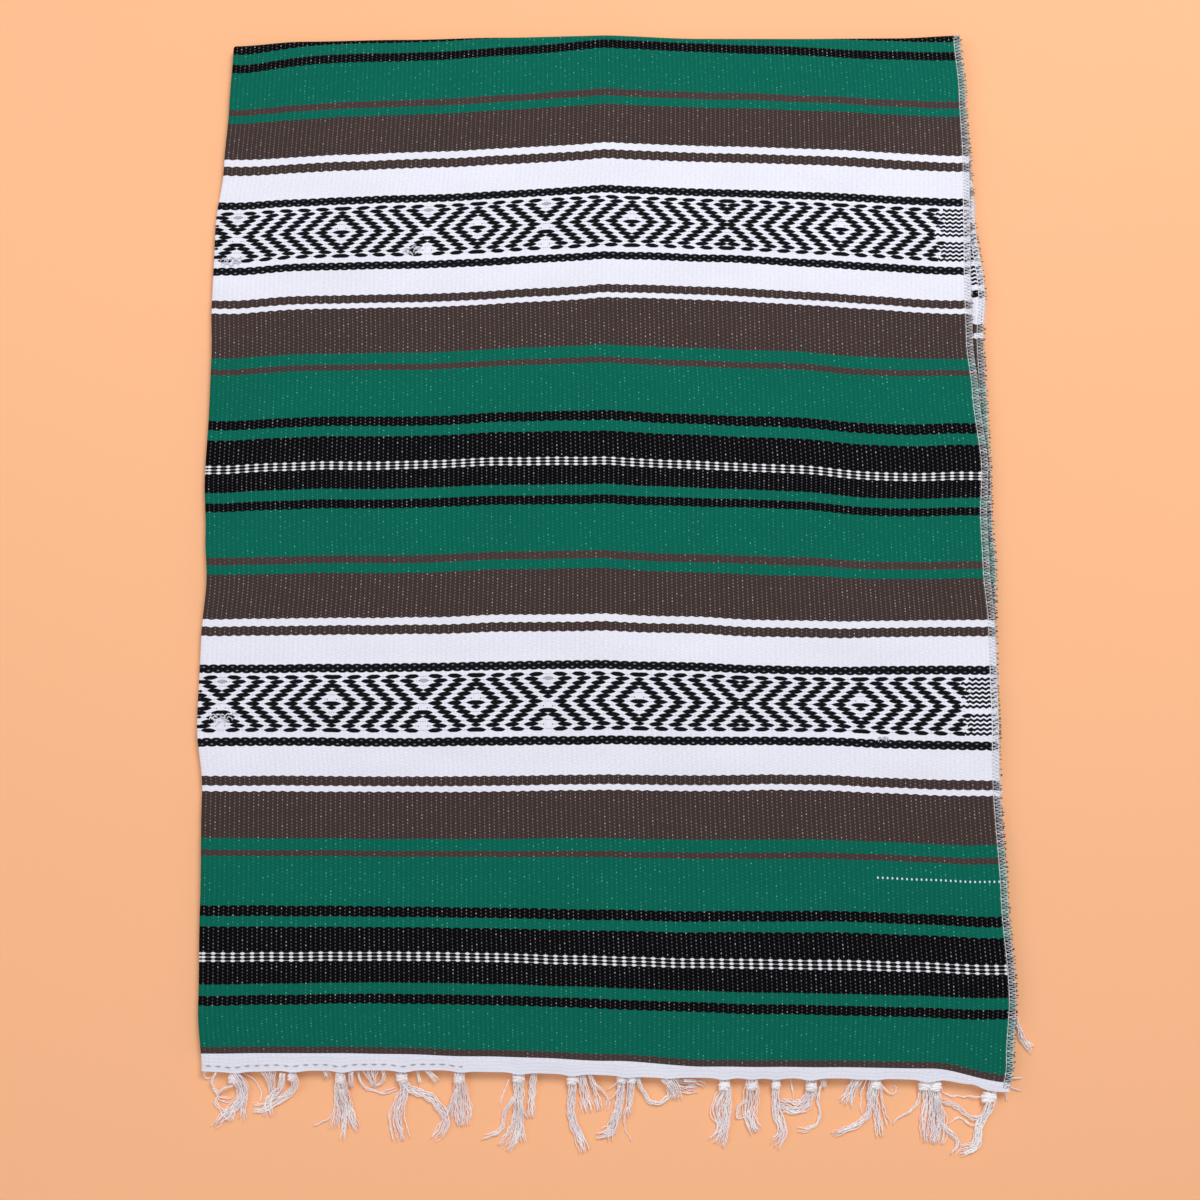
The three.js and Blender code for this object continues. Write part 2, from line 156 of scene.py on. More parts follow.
def bow(across):
    """The bow of each charted weft at these places across."""
    left = slice(None, CREASE_MARK + 1)
    right = slice(CREASE_MARK, None)
    return np.array([
        np.where(
            across < BOW_MARKS[CREASE_MARK],
            rounded(BOW_MARKS[left], rise[left], across),
            rounded(BOW_MARKS[right], rise[right], across),
        )
        for _, rise in BOW
    ])


def weft_at(across, down):
    """The place in the weave, along the warp, of points of the top layer."""
    wefts = np.array([weft for weft, _ in BOW], float)
    rises = bow(across)
    place = np.arange(len(across))
    weft = np.array(down, float)
    for _ in range(6):
        at = np.clip(weft, wefts[0], wefts[-1])
        i = np.clip(np.searchsorted(wefts, at, side="right") - 1, 0, len(wefts) - 2)
        t = smooth((at - wefts[i]) / (wefts[i + 1] - wefts[i]))
        weft = down + rises[i, place] * (1 - t) + rises[i + 1, place] * t
    return weft + read(DRIFT, "weft", "ahead", weft)


def ridges(across, down):
    """How far the two upper layers stand above their flat place."""
    height = np.zeros_like(across)
    for middle, lean, half_width, rise, start, end in RIDGES:
        sideways = np.clip(np.abs(across - middle - lean * down / 1000) / half_width, 0, 1)
        along = np.clip((down - start) / (end - start), 0, 1)
        height += rise * (1 + np.cos(math.pi * sideways)) / 2 * np.sqrt(np.sin(math.pi * along))
    return height


def swell(across, down, waves):
    """Slow uneven swelling, from nothing to the sum of the waves' heights."""
    total = 0
    for height, length, turn, start in waves:
        along = across * math.cos(turn) + down * math.sin(turn)
        total = total + height * (0.5 + 0.5 * np.sin(2 * math.pi * along / length + start))
    return total


SOFT_SWELL = ((0.35, 310, 0.5, 1.0), (0.3, 190, 2.2, 4.0), (0.2, 120, 1.2, 0.4))
TOP_EDGE_SWELL = ((0.5, 140, 1.5, 0.6), (0.35, 67, 1.7, 3.1))
SECOND_EDGE_SWELL = ((0.35, 110, 1.4, 2.0), (0.2, 59, 1.6, 5.0))
THIRD_EDGE_SWELL = ((0.3, 170, 1.6, 1.1), (0.25, 73, 1.5, 3.0))


def loosened(across, down, layer):
    """How far one layer stands above its flat place. Each is at least as high as the next."""
    towards_seam = smooth((across - 120) / 240)
    towards_hem = smooth((down - 900) / 110)
    edge = 0.15 + 0.85 * np.maximum(towards_seam, 0.6 * towards_hem)
    edge = edge * smooth((across - FOLD_EDGE - 4) / 120)
    lift = np.zeros_like(across)
    if layer <= 3:
        lift = lift + swell(across, down, THIRD_EDGE_SWELL) * edge
    if layer <= 2:
        lift = lift + swell(across, down, SECOND_EDGE_SWELL) * edge
        lift = lift + ridges(across, down) + swell(across, down, SOFT_SWELL)
    if layer == 1:
        lift = lift + swell(across, down, TOP_EDGE_SWELL) * edge
    return lift


def from_axis(across, down):
    """A place given down from the zero line, measured from the crosswise fold's axis."""
    return down + read(LINES, "across", "top", across) - AXIS_BELOW_TOP


def from_zero(across, down):
    """A place given from the crosswise fold's axis, measured down from the zero line."""
    return down + AXIS_BELOW_TOP - read(LINES, "across", "top", across)


def stack_point(across, down, turn, offset, layer):
    """A point of the folded stack, in metres.

    `down` is measured from the axis of the crosswise fold, `turn` is how far round that fold
    the point is, and `offset` is its height above the middle of the doubled cloth.
    """
    radius = PITCH + FOLD_PUFF * np.exp(-down / PUFF_REACH) / 2
    reach = radius + offset
    upper = loosened(across, down, layer) * np.clip(np.cos(turn), 0, 1)
    lower = loosened(across, down, 5 - layer) * np.clip(-np.cos(turn), 0, 1)
    height = radius + BEND + reach * np.cos(turn) + upper + lower
    up = reach * np.sin(turn) - from_zero(across, down)
    return np.stack([across, up, height], axis=-1) * MM + SHIFT


def seam_at(down, layer, turned):
    """Where a layer's overlocked edge lies. `turned` is for the cloth past the crosswise fold."""
    upper = read(SIDES, "down", "right" if layer == 1 else "second", down)
    lower = read(SIDES, "down", "right", down) - LOWER_INSET
    return np.where(turned, upper + (lower - upper) * smooth(down / 60), upper)


# ---- Making meshes ----
def new_piece(name, points, faces, finish, places):
    """A mesh object from points in metres, with its cloth places as a UV map."""
    mesh = bpy.data.meshes.new(name)
    mesh.from_pydata([tuple(point) for point in points], [], faces)
    corners = np.zeros(len(mesh.loops), np.int32)
    mesh.loops.foreach_get("vertex_index", corners)
    layer = mesh.uv_layers.new(name="cloth_place")
    layer.data.foreach_set("uv", np.asarray(places, np.float32)[corners].ravel())
    mesh.polygons.foreach_set("use_smooth", [True] * len(mesh.polygons))
    mesh.materials.append(finish)
    mesh.update()
    piece = bpy.data.objects.new(name, mesh)
    bpy.context.scene.collection.objects.link(piece)
    return piece


def select_only(piece):
    bpy.ops.object.select_all(action="DESELECT")
    bpy.context.view_layer.objects.active = piece
    piece.select_set(True)


def apply_modifiers(piece):
    select_only(piece)
    for modifier in list(piece.modifiers):
        bpy.ops.object.modifier_apply(modifier=modifier.name)
    piece.select_set(False)


def keep_corners(piece):
    """Smooth shading that leaves the cut edges crisp."""
    select_only(piece)
    bpy.ops.object.shade_smooth_by_angle(angle=math.radians(50))
    piece.select_set(False)


def grid_faces(rows, columns):
    """Four-sided faces between the points of a grid, row after row."""
    at = np.arange(rows * columns).reshape(rows, columns)
    corners = (at[:-1, :-1], at[1:, :-1], at[1:, 1:], at[:-1, 1:])
    return np.stack(corners, axis=-1).reshape(-1, 4).tolist()


class Yarns:
    """Many short yarns gathered into one mesh."""

    def __init__(self):
        self.points, self.faces, self.places, self.count = [], [], [], 0

    def add(self, path, thickness, sides=5, facing=(0, 0, 1), places=None):
        """One yarn along a path in metres. `thickness` is its radius, or one at each point."""
        path = np.asarray(path, float)
        along = np.gradient(path, axis=0)
        across = np.cross(along, facing)
        across /= np.maximum(np.linalg.norm(across, axis=1, keepdims=True), 1e-9)
        up = np.cross(across, along)
        up /= np.maximum(np.linalg.norm(up, axis=1, keepdims=True), 1e-9)
        radius = np.broadcast_to(np.asarray(thickness, float), len(path))[:, None, None]
        angle = 2 * math.pi * np.arange(sides) / sides
        cosine, sine = np.cos(angle)[None, :, None], np.sin(angle)[None, :, None]
        ring = cosine * across[:, None] + sine * up[:, None]
        self.points.append((path[:, None] + radius * ring).reshape(-1, 3))
        if places is None:
            places = np.zeros((len(path), 2))
        self.places.append(np.repeat(np.asarray(places, float), sides, axis=0))
        start = self.count
        for i in range(len(path) - 1):
            for j in range(sides):
                a, b = start + i * sides + j, start + i * sides + (j + 1) % sides
                self.faces.append((a, b, b + sides, a + sides))
        last = start + (len(path) - 1) * sides
        self.faces.append(tuple(start + j for j in reversed(range(sides))))
        self.faces.append(tuple(last + j for j in range(sides)))
        self.count += len(path) * sides

    def piece(self, name, finish):
        points, places = np.concatenate(self.points), np.concatenate(self.places)
        return new_piece(name, points, self.faces, finish, places)


def curve_through(marks, count):
    """Points on a smooth curve through the marks, which are across, down and width."""
    marks = np.asarray(marks, float)
    if len(marks) == 2:
        return marks[0] + (marks[1] - marks[0]) * np.linspace(0, 1, count)[:, None]
    steps = np.linalg.norm(np.diff(marks[:, :2], axis=0), axis=1)
    keys = np.concatenate([[0], np.cumsum(np.maximum(steps, 1e-6))])
    at = np.linspace(0, keys[-1], count)
    return np.stack([rounded(keys, marks[:, k], at) for k in range(marks.shape[1])], axis=-1)


# ---- Finishes ----
def dye(red, green, blue):
    """A colour from its everyday 0 to 255 values."""
    def linear(value):
        value /= 255
        return value / 12.92 if value <= 0.04045 else ((value + 0.055) / 1.055) ** 2.4
    return (linear(red), linear(green), linear(blue), 1.0)


def operation(name, swapped=False):
    """A method of Value that adds one Math node."""
    def method(self, *others):
        values = (*others, self) if swapped else (self, *others)
        return self.finish.node("ShaderNodeMath", {"operation": name}, values)
    return method


class Value:
    """A number that varies over a surface. Sums on it add their own nodes."""

    def __init__(self, finish, socket):
        self.finish, self.socket = finish, socket

    __add__, __radd__ = operation("ADD"), operation("ADD", swapped=True)
    __sub__, __rsub__ = operation("SUBTRACT"), operation("SUBTRACT", swapped=True)
    __mul__, __rmul__ = operation("MULTIPLY"), operation("MULTIPLY", swapped=True)
    __truediv__, __rtruediv__ = operation("DIVIDE"), operation("DIVIDE", swapped=True)
    __gt__, __lt__ = operation("GREATER_THAN"), operation("LESS_THAN")
    __abs__, whole, part = operation("ABSOLUTE"), operation("FLOOR"), operation("FRACT")
    nearest, sine, sign = operation("ROUND"), operation("SINE"), operation("SIGN")
    least, most = operation("MINIMUM"), operation("MAXIMUM")

    def squared(self):
        return self * self

    def from_to(self, low, high):
        """Nothing at `low`, everything at `high`, and a soft step between them."""
        settings = {"interpolation_type": "SMOOTHSTEP"}
        inputs = {"Value": self, "From Min": low, "From Max": high}
        return self.finish.node("ShaderNodeMapRange", settings, inputs)


class Finish:
    """One material and the ways of adding nodes to it."""

    def __init__(self, name, roughness, sheen=0.0):
        self.material = bpy.data.materials.new(name)
        self.material.use_nodes = True
        self.tree = self.material.node_tree
        self.surface = self.tree.nodes["Principled BSDF"]
        self.surface.inputs["Roughness"].default_value = roughness
        self.surface.inputs["Sheen Weight"].default_value = sheen
        self.surface.inputs["Sheen Roughness"].default_value = 0.5
        self.surface.inputs["Specular IOR Level"].default_value = 0.1

    def plug(self, socket, value):
        if isinstance(value, Value):
            self.tree.links.new(value.socket, socket)
        elif value is not None:
            socket.default_value = value

    def node(self, kind, settings=None, inputs=(), output=0):
        """Any node: its settings first, then its inputs by place or by name."""
        node = self.tree.nodes.new(kind)
        for name, value in (settings or {}).items():
            if name == "stops":
                stops = node.color_ramp.elements
                while len(stops) < len(value):
                    stops.new(1.0)
                for stop, (place, colour) in zip(stops, value):
                    stop.position, stop.color = place, colour
            elif name == "join":
                node.color_ramp.interpolation = value
            else:
                setattr(node, name, value)
        named = inputs.items() if isinstance(inputs, dict) else enumerate(inputs)
        for place, value in named:
            self.plug(node.inputs[place], value)
        return Value(self, node.outputs[output])

    def mix(self, amount, first, second, how="MIX"):
        settings = {"data_type": "RGBA", "blend_type": how}
        return self.node("ShaderNodeMix", settings, {0: amount, 6: first, 7: second}, output=2)

    def cloth_place(self):
        """Distances across and along the cloth, in millimetres."""
        place = self.node("ShaderNodeUVMap", {"uv_map": "cloth_place"})
        scaled = self.node("ShaderNodeVectorMath", {"operation": "SCALE"}, {0: place, 3: 1000.0})
        return tuple(self.node("ShaderNodeSeparateXYZ", {}, {0: scaled}, output=k) for k in (0, 1))

    def vector(self, x, y, z=0.0):
        return self.node("ShaderNodeCombineXYZ", {}, (x, y, z))

    def noise(self, place, scale, detail=1.0):
        inputs = {"Vector": place, "Scale": scale, "Detail": detail}
        return self.node("ShaderNodeTexNoise", {}, inputs)

    def mottle(self, across, along, detail=1.0):
        """Soft unevenness laid out on the cloth's own places."""
        return self.noise(self.vector(across, along), 1.0, detail)

    def fuzz(self, scale, detail=1.0):
        """Soft unevenness through the body of a piece."""
        return self.noise(self.node("ShaderNodeTexCoord", output="Object"), scale, detail)

    def shaded(self, colour, shade):
        """A colour made darker or lighter by a number."""
        return self.mix(1.0, colour, self.vector(shade, shade, shade), "MULTIPLY")

    def speckle(self, place):
        """A number from 0 to 1 for each whole-number place."""
        return self.node("ShaderNodeTexWhiteNoise", {"noise_dimensions": "2D"}, {"Vector": place})

    def paint(self, colour):
        self.plug(self.surface.inputs["Base Color"], colour)

    def relief(self, height, strength=1.0):
        """Relief from a height in millimetres."""
        inputs = {"Strength": strength, "Distance": MM, "Height": height}
        self.plug(self.surface.inputs["Normal"], self.node("ShaderNodeBump", {}, inputs))


BLACK, GREEN, BROWN = dye(5, 4, 8), dye(4, 103, 86), dye(67, 54, 53)
THIN_BROWN, WHITE = dye(72, 59, 58), dye(240, 241, 255)
FLOAT_BLACK, DASH_WHITE = dye(16, 17, 22), dye(240, 240, 248)
BARE_WARP, CHAIN_EYE = dye(150, 152, 160), dye(200, 200, 206)
# The grey for the heading's slits is painted shade inside them.
THREAD_WHITE, SLIT_PAINTED_SHADE = dye(244, 245, 251), dye(120, 116, 122)

# One repeat of the stripes, from the middle of one line of dashes to the next. The patterned
# band and the two chains beside it lie on the white at its middle.
STRIPES = (
    (22.8, BLACK), (10.9, GREEN), (8.9, BLACK), (45.1, GREEN), (6.8, THIN_BROWN), (9.7, GREEN),
    (43.5, BROWN), (6.7, WHITE), (8.6, BROWN), (136.0, WHITE), (8.4, BROWN), (5.6, WHITE),
    (44.3, BROWN), (10.1, GREEN), (6.4, THIN_BROWN), (44.6, GREEN), (8.1, BLACK), (9.9, GREEN),
    (26.1, BLACK),
)
BAND_MIDDLE = 231.8
PATTERN_RAISE = 1.4  # the middle row of floats lies this far above the middle of its band
# The warp that shows through each colour: how strongly, and how much of that is on every rib.
SPECKS = {
    BLACK: dye(205, 205, 212), GREEN: dye(110, 200, 168), BROWN: dye(180, 168, 160),
    THIN_BROWN: dye(180, 168, 160), WHITE: dye(248, 248, 255),
}
SPECK_SHARE = {BLACK: 0.42, GREEN: 0.5, BROWN: 0.7, THIN_BROWN: 0.5, WHITE: 0.3}
EVEN_SHARE = {BLACK: 0.3, GREEN: 0.14, BROWN: 0.4, THIN_BROWN: 0.25, WHITE: 0.1}


def stripe_stops(colour_of):
    total = sum(width for width, _ in STRIPES)
    place, stops = 0.0, []
    for width, colour in STRIPES:
        stops.append((place / total, colour_of(colour)))
        place += width
    return stops


def striped(finish, place, colour_of=lambda colour: colour):
    """The colour of the stripes at a place from 0 to 1 in the repeat, and its fourth number."""
    settings = {"join": "CONSTANT", "stops": stripe_stops(colour_of)}
    colour = finish.node("ShaderNodeValToRGB", settings, (place,))
    return colour, Value(finish, colour.socket.node.outputs["Alpha"])


def repeats(along):
    """How many repeats of the stripes lie between the first dashes and this place."""
    return (along - FIRST_DASHES) / REPEAT


def oval(across, along, half_width, half_length):
    """Below 1 inside an oval, above 1 outside it."""
    return (across / half_width).squared() + (along / half_length).squared()


HEADING_BORDER = 1001.1  # where the white heading starts along the warp
MISSED_PICK = (833, 139)  # a line of bare warp dots: where along the warp, and from which rib

# The patterned band. Its floats lie in rows, and each is centred on a rib or between two.
ROW = 4.25  # from one row of floats to the next
BAND_HALF = 6.5  # rows from the middle row to the edge of the pattern
TURNED_ROW = 5.5  # past this row, the floats lean the other way
FLOAT_REACH = 1.62  # half the length of a float, in ribs
FLOAT_HEIGHT = 2.45  # half its height at its middle
DIAMONDS = ((-17, 0), (29, 6.5), (59, 48.5), (93, 74.5), (139, 114.5))  # centre, and from which rib
WHITE_CROSSES = (6.5, 48.5, 74.5)
PATTERN_START = 2  # the pattern's first rib, counted from the lengthwise fold
LAST_FLOAT_RIB = 159.6 + PATTERN_START  # past this rib there are only short wavy dashes

# The chains beside the pattern, and the rows of dashes.
CHAIN_MIDDLE = 35.4  # from the middle of the band
BAND_EDGE = 42  # from the middle of the band to the white beyond its chains
LINK_SHIFT = 1.75  # each link lies this far from the middle of its chain, on either side in turn
LINK = (1.15, 2.6)  # its half width in ribs, and its half length
EYE_SHIFT = 1.7
EYE = (0.3, 0.7)
DASH_ROW = 3.05  # from one row of white dashes to the next
DASH_REACH = 4.6  # the three rows end this far from their middle
SPECK = (0.56 / RIB, 0.74)  # a speck of bare warp: half width in ribs, and half length


def float_pattern(finish, rib, row_place):
    """Black floats of the patterned band, and the dots of bare warp beside them.

    `row_place` is the distance below the middle row.
    """
    rib = abs(rib) + PATTERN_START
    centre = DIAMONDS[0][0] + 0.5
    for (previous, _), (middle, start) in zip(DIAMONDS, DIAMONDS[1:]):
        centre = centre + (rib > start) * (middle - previous)
    row = (row_place / ROW).nearest()
    level = row_place - row * ROW
    turned = abs(row) > TURNED_ROW
    step = abs(row) - turned * 2
    away = abs(rib - centre)
    slant = row_place.sign() * level * 0.12 * (1 - turned * 2)
    phase = ((step + away - 0.5 + slant) / 4 + 0.5).part() * 4 - 2
    half_height = (1 - (phase / FLOAT_REACH).squared()) * FLOAT_HEIGHT
    floats = (half_height - abs(level)).from_to(-0.25, 0.25)

    # White gaps: the float just above each centre is left out, and so are two below each
    # crossing. One above the crossing is faint.
    cross_away = abs(rib - WHITE_CROSSES[0])
    for cross in WHITE_CROSSES[1:]:
        cross_away = cross_away.least(abs(rib - cross))
    left_out = (row > 0.5).most((abs(row + 5) < 0.5) * 0.5)
    single = abs(step - 3) > 1.5  # rows that hold a single float at a crossing
    at_cross = (cross_away < 0.85) * left_out * single
    at_centre = (away < 0.85) * (abs(row + 1) < 0.5)
    floats = floats * (1 - at_centre.most(at_cross))

    # Past the last float, each row goes on as a short wavy dash.
    wave = (rib * (1.5 * math.pi)).sine() * 0.7
    dashes = (1 - abs(level - wave).from_to(1.05, 1.5)) * (abs(row - 1) > 0.5)
    last = (row * 0.38).part() * 2.6 + (LAST_FLOAT_RIB - 1.3)
    floats = floats + (dashes - floats) * (rib > last)
    inside = abs(row_place) < BAND_HALF * ROW
    from_dot = abs(abs(phase) - 2) + abs(level) * 0.7
    dots = (1 - from_dot.from_to(0.25, 0.55)) * inside
    return floats * inside, dots * (rib < LAST_FLOAT_RIB)


def chain(rib_turn, from_band):
    """The two chains of black links: the links, and the holes through them."""
    from_chain = abs(from_band) - CHAIN_MIDDLE
    outer = oval(rib_turn, from_chain - LINK_SHIFT, *LINK)
    inner = oval(1 - rib_turn, from_chain + LINK_SHIFT, *LINK)
    outer_eye = oval(rib_turn, from_chain - EYE_SHIFT, *EYE)
    inner_eye = oval(1 - rib_turn, from_chain + EYE_SHIFT, *EYE)
    links = 1 - outer.least(inner).from_to(0.85, 1.15)
    return links, (1 - outer_eye.least(inner_eye).from_to(0.3, 1.2)) * links


def dash_lines(rib_turn, from_dashes):
    """Three rows of white dashes, and the black between them."""
    row = (from_dashes / DASH_ROW).nearest().least(1.0).most(-1.0)
    level = abs(from_dashes - row * DASH_ROW)
    dash = ((1 - (rib_turn / 0.56).squared()) * 1.1).most(0.12) - level
    dashes = dash.from_to(-0.25, 0.25) * (abs(from_dashes) < DASH_REACH)
    between = (1 - abs(from_dashes).from_to(DASH_REACH - 0.2, DASH_REACH + 0.6)) * (1 - dashes)
    return dashes, between


def cloth_finish():
    """Weft-faced cloth: stripes, warp specks, dash lines, chains and the patterned band."""
    finish = Finish("striped_weave", roughness=0.92)
    across, along = finish.cloth_place()
    rib = across / RIB
    in_rib = rib.part() - 0.5
    odd = (rib.whole() / 2).part() > 0.25
    rib_turn = 1 - abs((rib / 2 - 0.25).part() * 2 - 1)  # 0 in mid even ribs, 1 in mid odd ones
    alternate = (rib * math.pi).sine()

    uneven = finish.mottle(across * 0.02, along * 0.012, 0.0)
    along = along + (uneven - 0.5) * 1.6
    repeat = repeats(along)
    stripe = (repeat + alternate * (0.45 / REPEAT)).part()
    from_dashes = ((repeat + 0.5).part() - 0.5) * REPEAT
    from_band = repeat.part() * REPEAT - BAND_MIDDLE

    # Warp specks: one on each rib every two picks, half-way on for every second rib.
    picks = along / PICK_PAIR + odd * 0.5
    in_pick = (picks.part() - 0.5) * PICK_PAIR
    chance = finish.speckle(finish.vector(rib.whole(), picks.whole()))
    patch = finish.mottle(across * 0.05, along * 0.05, 0.0)
    ground, share = striped(finish, stripe, lambda colour: colour[:3] + (SPECK_SHARE[colour],))
    speck, even = striped(finish, stripe, lambda colour: SPECKS[colour][:3] + (EVEN_SHARE[colour],))
    bright = chance.squared().squared() * 0.8 + (chance > 0.95) * 0.5 + even * (patch + 0.5)
    on_speck = 1 - oval(in_rib, in_pick, *SPECK).from_to(0.3, 1.4)
    colour = finish.mix(on_speck * bright * share, ground, speck)

    floats, dots = float_pattern(finish, rib, from_band + PATTERN_RAISE)
    colour = finish.mix(dots * 0.45, colour, BARE_WARP)
    colour = finish.mix(floats, colour, FLOAT_BLACK)
    links, eyes = chain(rib_turn, from_band)
    colour = finish.mix(links, colour, FLOAT_BLACK)
    colour = finish.mix(eyes * (0.1 + chance * 0.4), colour, CHAIN_EYE)
    dashes, between = dash_lines(rib_turn, from_dashes)
    colour = finish.mix(between, colour, FLOAT_BLACK)
    colour = finish.mix(dashes, colour, DASH_WHITE)

    place, first_rib = MISSED_PICK
    missed = (1 - abs(along - place).from_to(0.6, 1.1)) * (rib > first_rib)
    colour = finish.mix(missed * (abs(in_rib) < 0.16), colour, WHITE)
    colour = finish.mix(along > HEADING_BORDER, colour, WHITE)

    # Uneven dyeing, the fine fibre of the weft, and painted shade in the valleys between the ribs.
    blotch = finish.mottle(across * 0.012, along * 0.03)
    fibre = finish.mottle(across * 0.3, along * 0.9)
    # painted shade: the colour is darkened in the valleys between the ribs
    painted_rib_shade = abs(in_rib).from_to(0.2, 0.5)
    finish.paint(finish.shaded(colour, 0.82 + blotch * 0.12 + fibre * 0.28 - painted_rib_shade * 0.05))

    ribs = (rib * (2 * math.pi) - math.pi / 2).sine()
    beads = ((picks - 0.25) * (2 * math.pi)).sine()
    finish.relief(ribs * 0.13 + beads * (ribs * 0.5 + 0.5) * 0.1, 0.8)
    return finish.material


SLIT_ABOVE_HEM = 5.0  # a row of slits in the heading
SLIT_END = 240  # it runs this far across, from the lengthwise fold


def heading_finish():
    """White weft-faced heading, with painted shade in its row of slits. Along the cloth it is
    measured up from the hem.
    """
    finish = Finish("white_heading", roughness=0.92)
    across, above_hem = finish.cloth_place()
    rib = across / RIB
    blotch = finish.mottle(across * 0.02, above_hem * 0.05)
    fibre = finish.mottle(across * 0.3, above_hem * 0.9)
    colour = finish.shaded(WHITE, 0.82 + blotch * 0.16 + fibre * 0.16)
    from_slit = abs(above_hem - SLIT_ABOVE_HEM) + abs((rib / 2).part() - 0.5) * 2.4
    slit = (1 - from_slit.from_to(0.5, 1.1)) * (across < SLIT_END) * (across > 0)
    # painted shade: the slits are darkened towards grey
    finish.paint(finish.mix(slit * 0.6, colour, SLIT_PAINTED_SHADE))
    ribs = (rib * (2 * math.pi) - math.pi / 2).sine()
    picks = (above_hem * (2 * math.pi / PICK_PAIR)).sine()
    finish.relief(ribs * 0.14 + picks * 0.08 - slit * 0.6, 0.8)
    return finish.material


def thread_finish():
    """Bulky overlock thread, which takes on some of the colour of the stripe under it."""
    finish = Finish("overlock_thread", roughness=0.88, sheen=0.1)
    across, along = finish.cloth_place()
    under, _ = striped(finish, repeats(along).part())
    patch = finish.mottle(across * 0.2, along * 0.28, 0.0).from_to(0.3, 0.7)
    colour = finish.mix(0.05 + patch * 0.5, THREAD_WHITE, under)
    finish.paint(finish.shaded(colour, 0.72 + finish.fuzz(900.0) * 0.5))
    return finish.material


def cut_yarn_finish():
    """Cut ends of weft in the colour of their stripe."""
    finish = Finish("cut_weft_ends", roughness=0.95)
    _, along = finish.cloth_place()
    repeat = repeats(along).part()
    ground, _ = striped(finish, repeat)
    in_band = abs(repeat * REPEAT - BAND_MIDDLE) < BAND_EDGE
    ground = finish.mix(in_band * 0.95, ground, BLACK)
    finish.paint(finish.shaded(ground, 0.7 + finish.fuzz(700.0, 0.0) * 0.6))
    return finish.material


def fringe_finish():
    """Soft white cotton warp."""
    finish = Finish("fringe_yarn", roughness=0.9, sheen=0.1)
    tone = finish.fuzz(40.0, 0.0).from_to(0.35, 0.65)
    colour = finish.mix(tone, dye(255, 252, 255), dye(250, 240, 244))
    finish.paint(finish.shaded(colour, 0.93 + finish.fuzz(450.0) * 0.2))
    return finish.material


def pulled_weft_finish():
    """Fluffy white weft."""
    finish = Finish("pulled_weft", roughness=0.95)
    finish.paint(finish.mix(finish.fuzz(600.0).from_to(0.3, 0.7), dye(196, 196, 208), WHITE))
    return finish.material


def floor_finish():
    finish = Finish("pale_floor", roughness=0.75)
    finish.paint(finish.mix(finish.fuzz(1.3), dye(253, 188, 142), dye(255, 194, 150)))
    finish.surface.inputs["Emission Color"].default_value = dye(255, 178, 120)
    finish.surface.inputs["Emission Strength"].default_value = 0.07
    return finish.material


CLOTH, HEADING, THREAD = cloth_finish(), heading_finish(), thread_finish()
CUT_YARN, YARN, PULLED = cut_yarn_finish(), fringe_finish(), pulled_weft_finish()


# ---- Camera, light and floor ----
TILT = math.atan(0.16)  # the camera looks this far from straight down
STAND_OFF = 1.4295  # from the camera to the cloth at the middle of the view
VIEW_MIDDLE = 576  # how far down from the zero line the camera looks
CLOTH_HEIGHT = 9  # height of the place that it looks at

target = np.array((0, -VIEW_MIDDLE, CLOTH_HEIGHT)) * MM + SHIFT
lens = bpy.data.cameras.new("view_from_above")
lens.lens, lens.sensor_width = 45, 36
lens.clip_end = 50
camera = bpy.data.objects.new("view_from_above", lens)
bpy.context.scene.collection.objects.link(camera)
camera.location = Vector(target) + STAND_OFF * Vector((0, -math.sin(TILT), math.cos(TILT)))
camera.rotation_euler = (TILT, 0, 0)
bpy.context.scene.camera = camera


def soft_light(name, place, size, power):
    """A soft box that faces the middle of the floor."""
    lamp = bpy.data.lights.new(name, "AREA")
    lamp.shape, lamp.size, lamp.size_y = "RECTANGLE", *size
    lamp.energy = power
    light = bpy.data.objects.new(name, lamp)
    bpy.context.scene.collection.objects.link(light)
    light.location = place
    light.rotation_euler = (-Vector(place)).to_track_quat("-Z", "Y").to_euler()


soft_light("main_softbox", (0.9, 1.5, 2.6), (1.3, 1.3), 54)
soft_light("front_fill", (0.2, -2.2, 2.4), (2.0, 1.2), 4)
soft_light("side_fill", (-2.2, 0.3, 2.0), (1.8, 1.8), 16)

world = bpy.data.worlds.new("studio")
world.use_nodes = True
world.node_tree.nodes["Background"].inputs["Color"].default_value = (1.0, 0.98, 0.96, 1)
world.node_tree.nodes["Background"].inputs["Strength"].default_value = 0.36
bpy.context.scene.world = world
bpy.context.scene.view_settings.view_transform = "Standard"

FLOOR_SIZE, FLOOR_GAP = 6.0, 0.0003  # the gap keeps the cloth's underside clear of it
bpy.ops.object.select_all(action="DESELECT")
bpy.ops.mesh.primitive_plane_add(size=FLOOR_SIZE, location=(0, 0, -FLOOR_GAP))
floor = bpy.context.object
bpy.ops.object.transform_apply(location=True, rotation=True, scale=True)
floor.name = "studio_floor"
floor.data.materials.append(floor_finish())


# ---- The folded cloth ----
FRINGE_PULLS = (  # across, how far the knot pulls the hem down
    (-333, 1.5), (-280, 1.5), (-236, 2.0), (-180, 2.0), (-128, 1.5), (-74, 2.0), (-25, 2.0),
    (24, 1.5), (63, 1.0), (113, 2.0), (138, 1.5), (160, 1.5), (192, 2.0), (236, 1.0), (251, 1.5),
    (300, 2.5), (353, 1.5),
)
HEM_PLACE = table(
    "across down",
    (-371, 1009), (-345, 1010), (-318, 1009.5), (-290, 1008.5), (-150, 1008), (-100, 1009.5),
    (-20, 1011.5), (60, 1014.5), (230, 1015), (310, 1016.5), (340, 1020), (370, 1027),
)
PULL_REACH = 8  # how far from a knot its pull dies away


def hem_at(across):
    """The hem's distance from the crosswise fold's axis, pulled down at each knot."""
    pull = 0
    for place, depth in FRINGE_PULLS:
        pull = pull + depth * np.exp(-(((across - place) / PULL_REACH) ** 2))
    return from_axis(across, read(HEM_PLACE, "across", "down", across)) + pull


